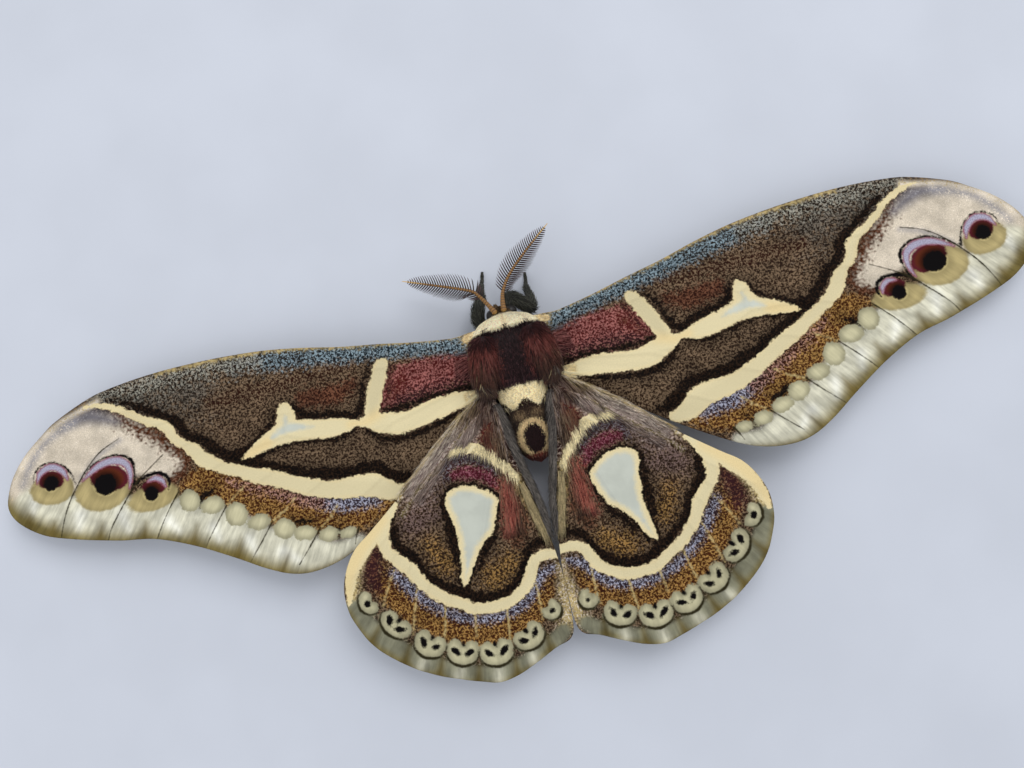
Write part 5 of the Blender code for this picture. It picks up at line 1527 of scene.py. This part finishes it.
LEG_PATHS = {
    "foreleg_left": (
        (1.3, 0.3, 3.2), (2.5, -0.7, 2.9), (2.45, -2.2, 3.0), (1.85, -3.5, 2.1), (1.6, -4.8, 1.1),
        (1.2, -5.9, 0.35), (0.95, -6.9, 0.14),
    ),
    "foreleg_right": (
        (0.8, -1.4, 3.7), (1.3, -2.7, 3.5), (2.3, -1.9, 3.5), (3.25, -0.9, 3.2), (3.5, -2.3, 2.5),
        (3.4, -3.7, 1.3), (3.6, -4.8, 0.35), (3.7, -5.6, 0.14),
    ),
    "midleg": (
        (1.8, 3.4, 2.6), (3.2, 3.2, 1.8), (6.2, 2.4, 3.0), (8.6, 3.0, 1.0), (9.8, 3.6, 0.3),
        (10.8, 4.2, 0.14),
    ),
    "hindleg": (
        (1.8, 6.0, 2.6), (3.0, 7.0, 1.8), (4.6, 10.2, 3.0), (5.6, 13.6, 1.0), (6.2, 15.8, 0.3),
        (6.6, 17.2, 0.14),
    ),
}
LEG_RADII = ((0.0, 0.6), (0.25, 0.6), (0.5, 0.42), (0.56, 0.3), (0.75, 0.24), (0.78, 0.17), (1.0, 0.13))
LEG_ROWS = 90
LEG_SIDES = 14
LEG_TUFTS = 2600
LEG_FUR = ((0.0, 0.9), (0.3, 0.95), (0.5, 0.8), (0.75, 0.6), (0.8, 0.3), (1.0, 0.12))
EYE_CENTRE = (1.0, -1.05, 4.1)
PALP_ROWS = 24
PALP_SIDES = 12
PALP_TUFTS = 700
PALP_RADII = ((0.0, 0.26), (0.5, 0.22), (1.0, 0.08))
PALP_PATH = ((0.35, -1.3, 3.6), (0.4, -1.8, 3.2), (0.45, -2.1, 3.1))


def tube(path, radius, sides):
    """Points and triangles of a round tapered tube along a path, closed at both ends."""
    along = unit(np.gradient(path, axis=0))
    up = np.array((0.0, 0.0, 1.0))
    across = unit(np.cross(along, up))
    above = np.cross(across, along)
    angle = np.linspace(0.0, math.tau, sides, endpoint=False)
    wheel = across[:, None] * np.cos(angle)[None, :, None] + above[:, None] * np.sin(angle)[None, :, None]
    points = (path[:, None] + wheel * radius[:, None, None]).reshape(-1, 3)
    ring = np.arange(sides)
    after = (ring + 1) % sides
    faces = []
    for row in range(len(path) - 1):
        low, high = row * sides, (row + 1) * sides
        faces.append(np.column_stack((low + ring, high + after, low + after)))
        faces.append(np.column_stack((low + ring, high + ring, high + after)))
    total, last = len(points), (len(path) - 1) * sides
    faces.append(np.column_stack((ring, after, np.full(sides, total))))
    faces.append(np.column_stack((last + after, last + ring, np.full(sides, total + 1))))
    front = path[0] - along[0] * radius[0] * 0.5
    back = path[-1] + along[-1] * radius[-1] * 0.5
    points = np.vstack((points, front, back))
    return points, np.vstack(faces)


def tube_uv(rows, sides):
    """Bake map of a tube: along it and round it, with the end points in the middle."""
    around, along = np.meshgrid(np.arange(sides) / sides, np.linspace(0.02, 0.98, rows))
    grid = np.column_stack((inset(around.ravel()), along.ravel()))
    return np.vstack((grid, ((0.5, 0.0), (0.5, 1.0))))


def side_path(points, sign, number):
    """Evenly spaced points on a smooth path, on one side of the moth."""
    line = smooth_line(np.array(points) * (sign, 1.0, 1.0), 0.1)
    run = np.concatenate(((0.0,), np.cumsum(np.linalg.norm(np.diff(line, axis=0), axis=1))))
    even = np.linspace(0.0, run[-1], number)
    return sampled(line, run, even)


def round_tube(path, radius, index, angle):
    """Roots, outward normals and directions of tufts round a tube, from places counted in its rows."""
    rows = np.arange(len(path))
    along = unit(sampled(np.gradient(path, axis=0), rows, index))
    across = unit(np.cross(along, (0.0, 0.0, 1.0)))
    above = np.cross(across, along)
    normals = across * np.cos(angle)[:, None] + above * np.sin(angle)[:, None]
    reach = np.interp(index, rows, radius)[:, None]
    return sampled(path, rows, index) + normals * reach * 0.9, normals, along


def build_feeler(side, fur, sizes, seed):
    rng = np.random.default_rng(seed)
    path = side_path(FEELER_PATHS[side], SIDES[side], SHAFT_ROWS)
    share = np.linspace(0.0, 1.0, SHAFT_ROWS)
    joint = (share * SHAFT_JOINTS) % 1.0
    radius = at_share(SHAFT_RADII, share) * (1.0 + JOINT_SWELL * np.sin(joint * math.pi))
    points, faces = tube(path, radius, SHAFT_SIDES)
    tip = rise(share, 0.72, 0.95)
    band = rise(joint, 0.45, 0.7) * (1.0 - tip)
    tint = blend(np.tile(fur.shaft, (SHAFT_ROWS, 1)), fur.shaft_tip, tip)
    tint = blend(tint, fur.shaft_dark, 0.85 * band)
    tints = plain(points, fur.shaft_tip)
    tints[:-2, :3] = np.repeat(tint, SHAFT_SIDES, axis=0)
    uv = tube_uv(SHAFT_ROWS, SHAFT_SIDES)
    shaft = new_piece("feeler_shaft_" + side, points, faces, "horn", uv, tint=tints)
    hand_over(shaft, "antenna", "antenna_" + side)

    number = sizes.comb_branches
    place = COMB_FROM + (COMB_TO - COMB_FROM) * (np.arange(number) + 0.5) / number
    spot = sampled(path, share, place)
    along = unit(sampled(np.gradient(path, axis=0), share, place))
    grown = (place - COMB_FROM) / (COMB_TO - COMB_FROM)
    reach = COMB_LENGTH * np.clip(0.62 + 1.6 * grown, 0.0, 1.0)
    reach = reach * np.clip(1.28 * (1.0 - grown) ** 0.55, 0.12, 1.0)
    roots, headings, lengths, lifts = [], [], [], []
    for hand in (1, -1):
        for layer, tilt in ((0.0, 12.0), (0.5, -8.0)):
            angle = math.radians(hand * COMB_SLANT) * (1.0 + 0.02 * layer)
            cos, sin = math.cos(angle), math.sin(angle)
            spin = np.array(((cos, -sin, 0.0), (sin, cos, 0.0), (0.0, 0.0, 1.0)))
            roots.append(spot - along * 0.06 * layer - (0.0, 0.0, 0.05 * layer))
            headings.append(unit((along * (1, 1, 0)) @ spin.T))
            lengths.append(reach * rng.uniform(0.95, 1.03, number) * (1.0 - 0.08 * layer))
            lifts.append(np.radians(tilt + rng.uniform(-2.0, 2.0, number)))
    roots, headings = np.concatenate(roots), np.concatenate(headings)
    total = len(roots)
    uv = np.column_stack((np.repeat((0.2, 0.4, 0.6, 0.8), number), np.tile(place, 4)))
    hands = np.repeat((1.0, -1.0), 2 * number)
    comb = tuft_piece(
        "feeler_comb_" + side,
        "horn",
        roots,
        uv,
        two_tone(rng, total, fur.comb, fur.sheen, 0.25) * 1.1,
        normals=np.tile((0.0, 0.0, 1.0), (total, 1)),
        headings=headings,
        lengths=np.concatenate(lengths),
        widths=np.full(total, COMB_WIDTH),
        lifts=np.concatenate(lifts),
        bend=0.5,
        rings=5,
        thickness=0.8,
        sway=0.14 * hands,
    )
    return hand_over(comb, "antenna")


def build_leg(name, points, side, fur, sizes, seed):
    """The skin of one leg and its coat."""
    rng = np.random.default_rng(seed)
    path = side_path(points, SIDES[side], LEG_ROWS)
    share = np.linspace(0.0, 1.0, LEG_ROWS)
    joints = 1.0 + 0.18 * np.sin(share * math.tau * 12.0) * rise(share, 0.78, 0.8)
    radius = at_share(LEG_RADII, share) * joints
    radius = np.minimum(radius, np.maximum(path[:, 2] - 0.02, 0.05))
    skin, faces = tube(path, radius, LEG_SIDES)
    skin[:, 2] = np.maximum(skin[:, 2], 0.0)
    uv = tube_uv(LEG_ROWS, LEG_SIDES)
    piece = new_piece(name + "_skin", skin, faces, "leg_skin", uv, tint=plain(skin, fur.leg))
    hand_over(piece, "leg_fur", name)

    place = np.sort(rng.random(LEG_TUFTS)) ** 1.15
    turns = golden(LEG_TUFTS)
    roots, normals, along = round_tube(path, radius, place * (LEG_ROWS - 1), turns * math.tau)
    lengths = at_share(LEG_FUR, place) * rng.uniform(0.7, 1.2, LEG_TUFTS)
    room = np.maximum(roots[:, 2] - 0.03, 0.0)
    lifts = np.radians(rng.uniform(12.0, 42.0, LEG_TUFTS))
    dips = np.sin(lifts) * lengths
    fitting = lengths * np.clip(room / np.maximum(dips, TINY), 0.1, 1.0)
    lengths = np.where(normals[:, 2] < 0, fitting, lengths)
    coat = tuft_piece(
        name + "_fur",
        "fur",
        roots,
        np.column_stack((inset(turns), inset(place))),
        two_tone(rng, LEG_TUFTS, fur.leg, fur.leg_light, 0.35),
        normals=normals,
        headings=along,
        lengths=lengths,
        widths=sizes.hair_width / MM * rng.uniform(0.6, 1.0, LEG_TUFTS),
        lifts=lifts,
        rings=2,
        sway=rng.normal(0.0, 0.08, LEG_TUFTS),
    )
    hand_over(coat, "leg_fur")


def build_eye(side, sizes):
    """A glossy ball of fine facets."""
    bpy.ops.mesh.primitive_ico_sphere_add(subdivisions=5, radius=sizes.eye_radius)
    eye = bpy.context.object
    eye.name = "eyeball_" + side
    eye.location = (mirrored(EYE_CENTRE, SIDES[side]) + SHIFT) * MM
    eye.data.shade_smooth()
    eye.data.materials.append(bpy.data.materials["eyeball"])
    return hand_over(eye, "eye", "eye_" + side)


def build_palp(side, fur, sizes, seed):
    """The skin and the coat of the short feeler under the brow."""
    rng = np.random.default_rng(seed)
    number = PALP_TUFTS
    path = side_path(PALP_PATH, SIDES[side], PALP_ROWS)
    radius = at_share(PALP_RADII, np.linspace(0.0, 1.0, PALP_ROWS))
    points, faces = tube(path, radius, PALP_SIDES)
    uv = tube_uv(PALP_ROWS, PALP_SIDES)
    skin = new_piece("palp_skin_" + side, points, faces, "fur", uv, tint=plain(points, fur.brow))
    hand_over(skin, "dark_fur")
    index = np.sort(rng.random(number)) * (PALP_ROWS - 1)
    turns = golden(number)
    roots, normals, along = round_tube(path, radius, index, turns * math.tau)
    coat = tuft_piece(
        "palp_fur_" + side,
        "fur",
        roots,
        np.column_stack((inset(turns), inset(index / PALP_ROWS))),
        two_tone(rng, number, fur.brow, fur.brow_light, 0.4),
        normals=normals,
        headings=along,
        lengths=0.4 * rng.uniform(0.7, 1.2, number),
        widths=np.full(number, 0.06),
        lifts=np.radians(rng.uniform(15.0, 40.0, number)),
        rings=2,
    )
    return hand_over(coat, "dark_fur")


def skin_material(name, scale, spread, depth, strength, roughness, shine):
    """Bare skin or horn in its own tint, lightly mottled."""
    paint = Paint(name)
    mottle = paint.noise(paint.place(), scale, 2.0, 0.6)
    tint = paint.attribute("tint", "Color")
    base = paint.shade(tint, paint.vary(mottle, 1.0 - spread, 1.0 + spread))
    paint.bump(mottle, depth, strength)
    return paint.finish(base, roughness, Specular_IOR_Level=shine)


def eye_material(fur):
    """Dark glossy eye with fine facets."""
    paint = Paint("eyeball")
    place = paint.place()
    facets = paint.node("TexVoronoi", {"Vector": place, "Scale": 14.0}, feature="F1").outputs[0]
    base = paint.mix(paint.ramp(facets, 0.1, 0.6), fur.eye, fur.pitch)
    paint.bump(facets, 0.01, 0.4)
    return paint.finish(base, 0.3, Specular_IOR_Level=0.25)


# Stage and operators

FLOOR_SIZE = 20.0
CAMERA_AIM = (0.885, 6.69, 4.5)
SENSOR_WIDTH = 36.0
CLIP_START = 0.001
LIGHT_SIZE = 0.3
LIGHT_PLACES = {"key": (-0.16, -0.22, 0.36), "fill": (0.3, 0.1, 0.25)}
SKY_COLOUR = (0.92, 0.95, 1.0, 1.0)


class MOTH_OT_materials(bpy.types.Operator):
    """Make the finishes of wings, fur, horn and eyes"""

    bl_idname = "moth.materials"
    bl_label = "Moth Materials"

    def execute(self, context):
        wing_material(context.scene.moth_wing_colours)
        fur_material("fur")
        skin_material("horn", 9.0, 0.15, 0.01, 0.4, 0.5, 0.4)
        skin_material("leg_skin", 12.0, 0.2, 0.02, 0.5, 0.6, 0.35)
        eye_material(context.scene.moth_fur_colours)
        return {"FINISHED"}


class MOTH_OT_forewings(bpy.types.Operator):
    """Make the two forewings with their markings"""

    bl_idname = "moth.forewings"
    bl_label = "Forewings"

    def execute(self, context):
        sizes = context.scene.moth_sizes
        lines = FOREWING_VEINS + FOREWING_THREADS
        chart, tris, outline = flat_wing(FOREWING_EDGE, lines, sizes.forewing_lattice / MM)
        painted = wing_paint(chart, *forewing_layout(), context.scene.moth_wing_colours)
        relief = wing_relief(chart, outline, lines, wing_height(chart), sizes)
        for side in SIDES:
            build_wing((chart, tris), side, "forewing_" + side, painted, relief, sizes)
        return {"FINISHED"}


class MOTH_OT_hindwings(bpy.types.Operator):
    """Make the two hindwings with their markings, lying on the forewings"""

    bl_idname = "moth.hindwings"
    bl_label = "Hindwings"

    def execute(self, context):
        sizes = context.scene.moth_sizes
        chart, tris, outline = flat_wing(HINDWING_EDGE, HINDWING_VEINS, sizes.hindwing_lattice / MM)
        painted = wing_paint(chart, *hindwing_layout(), context.scene.moth_wing_colours)
        window = patch(chart, HINDWING_WINDOW)
        painted["cream"] = np.minimum(painted["cream"], window)
        painted["window"] = np.minimum(painted["window"], window + WINDOW_FRAME)
        painted["black"] = np.minimum(painted["black"], window - WINDOW_RIM)
        relief = wing_relief(chart, outline, HINDWING_VEINS, hindwing_height(chart), sizes)
        for side in SIDES:
            build_wing((chart, tris), side, "hindwing_" + side, painted, relief, sizes, HINDWING_TURN[side])
        return {"FINISHED"}


class MOTH_OT_body(bpy.types.Operator):
    """Make the skin of head, thorax and abdomen and the coat that covers it"""

    bl_idname = "moth.body"
    bl_label = "Body"

    def execute(self, context):
        fur = context.scene.moth_fur_colours
        sizes = context.scene.moth_sizes
        build_skin(fur)
        for seed, row in enumerate(COATS, SEEDS["coat"]):
            build_coat(row, fur, sizes, seed)
        for seed, side in enumerate(SIDES, SEEDS["tegula"]):
            build_tegula(side, fur, sizes, seed)
        return {"FINISHED"}


class MOTH_OT_wing_hair(bpy.types.Operator):
    """Make the long hair at the roots and inner edges of the wings"""

    bl_idname = "moth.wing_hair"
    bl_label = "Wing Hair"

    def execute(self, context):
        scene = context.scene
        looks = (scene.moth_wing_colours, scene.moth_fur_colours, scene.moth_sizes)
        for place, side in enumerate(SIDES):
            wings = {
                "forewing_hair": (FOREWING_HAIR, forewing_layout(), wing_height, 0.0),
                "hindwing_hair": (HINDWING_HAIR, hindwing_layout(), hindwing_height, HINDWING_TURN[side]),
            }
            for name, wing in wings.items():
                build_wing_hair(name + "_" + side, side, wing, *looks, SEEDS[name] + place)
        return {"FINISHED"}


class MOTH_OT_feelers(bpy.types.Operator):
    """Make the two feathered feelers"""

    bl_idname = "moth.feelers"
    bl_label = "Feelers"

    def execute(self, context):
        for seed, side in enumerate(SIDES, SEEDS["feeler"]):
            build_feeler(side, context.scene.moth_fur_colours, context.scene.moth_sizes, seed)
        return {"FINISHED"}


class MOTH_OT_legs(bpy.types.Operator):
    """Make the six furred legs"""

    bl_idname = "moth.legs"
    bl_label = "Legs"

    def execute(self, context):
        legs = [(kind, side) for side in SIDES for kind in ("foreleg", "midleg", "hindleg")]
        for seed, (kind, side) in enumerate(legs, SEEDS["leg"]):
            name = kind + "_" + side
            points = LEG_PATHS.get(name) or LEG_PATHS[kind]
            build_leg(name, points, side, context.scene.moth_fur_colours, context.scene.moth_sizes, seed)
        return {"FINISHED"}


class MOTH_OT_face(bpy.types.Operator):
    """Make the eyes and the two short feelers under the brow"""

    bl_idname = "moth.face"
    bl_label = "Face"

    def execute(self, context):
        for seed, side in enumerate(SIDES, SEEDS["palp"]):
            build_eye(side, context.scene.moth_sizes)
            build_palp(side, context.scene.moth_fur_colours, context.scene.moth_sizes, seed)
        return {"FINISHED"}


class MOTH_OT_stage(bpy.types.Operator):
    """Make the floor, the lights and the camera"""

    bl_idname = "moth.stage"
    bl_label = "Stage"

    def execute(self, context):
        stage = context.scene.moth_stage
        paint = Paint("floor")
        mottle = paint.noise(paint.place(), 0.05, 3.0, 0.5)
        base = paint.shade(tuple(stage.floor), paint.vary(mottle, 0.97, 1.03))
        floor_material = paint.finish(base, 0.7, Specular_IOR_Level=0.2)
        bpy.ops.mesh.primitive_plane_add(size=FLOOR_SIZE)
        floor = context.object
        floor.name = "floor"
        floor.data.materials.append(floor_material)
        for name, place in LIGHT_PLACES.items():
            self.light(name + "_light", getattr(stage, name), place)
        world = bpy.data.worlds.new("studio")
        world.use_nodes = True
        background = world.node_tree.nodes["Background"]
        background.inputs["Color"].default_value = SKY_COLOUR
        background.inputs["Strength"].default_value = stage.sky
        context.scene.world = world
        context.scene.view_settings.view_transform = "Standard"
        self.camera(context, stage)
        return {"FINISHED"}

    def light(self, name, power, place):
        data = bpy.data.lights.new(name, "AREA")
        data.energy = power
        data.size = LIGHT_SIZE
        light = bpy.data.objects.new(name, data)
        light.location = place
        light.rotation_euler = (-Vector(place)).to_track_quat("-Z", "Y").to_euler()
        bpy.context.scene.collection.objects.link(light)

    def camera(self, context, stage):
        """Over the moth, aimed a little ahead of its middle, with the picture turned."""
        data = bpy.data.cameras.new("camera")
        data.lens = stage.lens
        data.sensor_width = SENSOR_WIDTH
        data.clip_start = CLIP_START
        data.clip_end = 2.0 * FLOOR_SIZE
        camera = bpy.data.objects.new("camera", data)
        aft_shift = SHIFT[1] * MM
        place = Vector((stage.camera_out, stage.camera_aft + aft_shift, stage.camera_height))
        aim = Vector(CAMERA_AIM) * MM + Vector((0.0, aft_shift, 0.0))
        view = (aim - place).normalized()
        hint = Vector((-math.sin(stage.camera_turn), -math.cos(stage.camera_turn), 0.0))
        right = view.cross(hint).normalized()
        up = right.cross(view)
        basis = Matrix((right, up, -view)).transposed()
        camera.matrix_world = Matrix.Translation(place) @ basis.to_4x4()
        context.scene.collection.objects.link(camera)
        context.scene.camera = camera


class MOTH_PT_panel(bpy.types.Panel):
    """Lists the pieces of the moth and the sizes and colours they are made from"""

    bl_label = "Silk Moth"
    bl_idname = "MOTH_PT_panel"
    bl_space_type = "VIEW_3D"
    bl_region_type = "UI"
    bl_category = "Moth"

    def draw(self, context):
        column = self.layout.column()
        for operator in OPERATORS:
            column.operator(operator.bl_idname)
        for group in ("moth_sizes", "moth_wing_colours", "moth_fur_colours", "moth_stage"):
            settings = getattr(context.scene, group)
            box = self.layout.box()
            for key in type(settings).__annotations__:
                box.prop(settings, key)


GROUPS = {
    "moth_wing_colours": MothWingColours,
    "moth_fur_colours": MothFurColours,
    "moth_sizes": MothSizes,
    "moth_stage": MothStage,
}
OPERATORS = (
    MOTH_OT_materials,
    MOTH_OT_forewings,
    MOTH_OT_hindwings,
    MOTH_OT_body,
    MOTH_OT_wing_hair,
    MOTH_OT_feelers,
    MOTH_OT_legs,
    MOTH_OT_face,
    MOTH_OT_stage,
)


def register():
    for kind in (*GROUPS.values(), *OPERATORS, MOTH_PT_panel):
        bpy.utils.register_class(kind)
    for name, group in GROUPS.items():
        setattr(bpy.types.Scene, name, PointerProperty(type=group))


def unregister():
    for name in GROUPS:
        delattr(bpy.types.Scene, name)
    for kind in reversed((*GROUPS.values(), *OPERATORS, MOTH_PT_panel)):
        bpy.utils.unregister_class(kind)


def main():
    register()
    bpy.ops.moth.materials()
    bpy.ops.moth.forewings()
    bpy.ops.moth.hindwings()
    bpy.ops.moth.body()
    bpy.ops.moth.wing_hair()
    bpy.ops.moth.feelers()
    bpy.ops.moth.legs()
    bpy.ops.moth.face()
    bpy.ops.moth.stage()


if __name__ == "__main__":
    main()
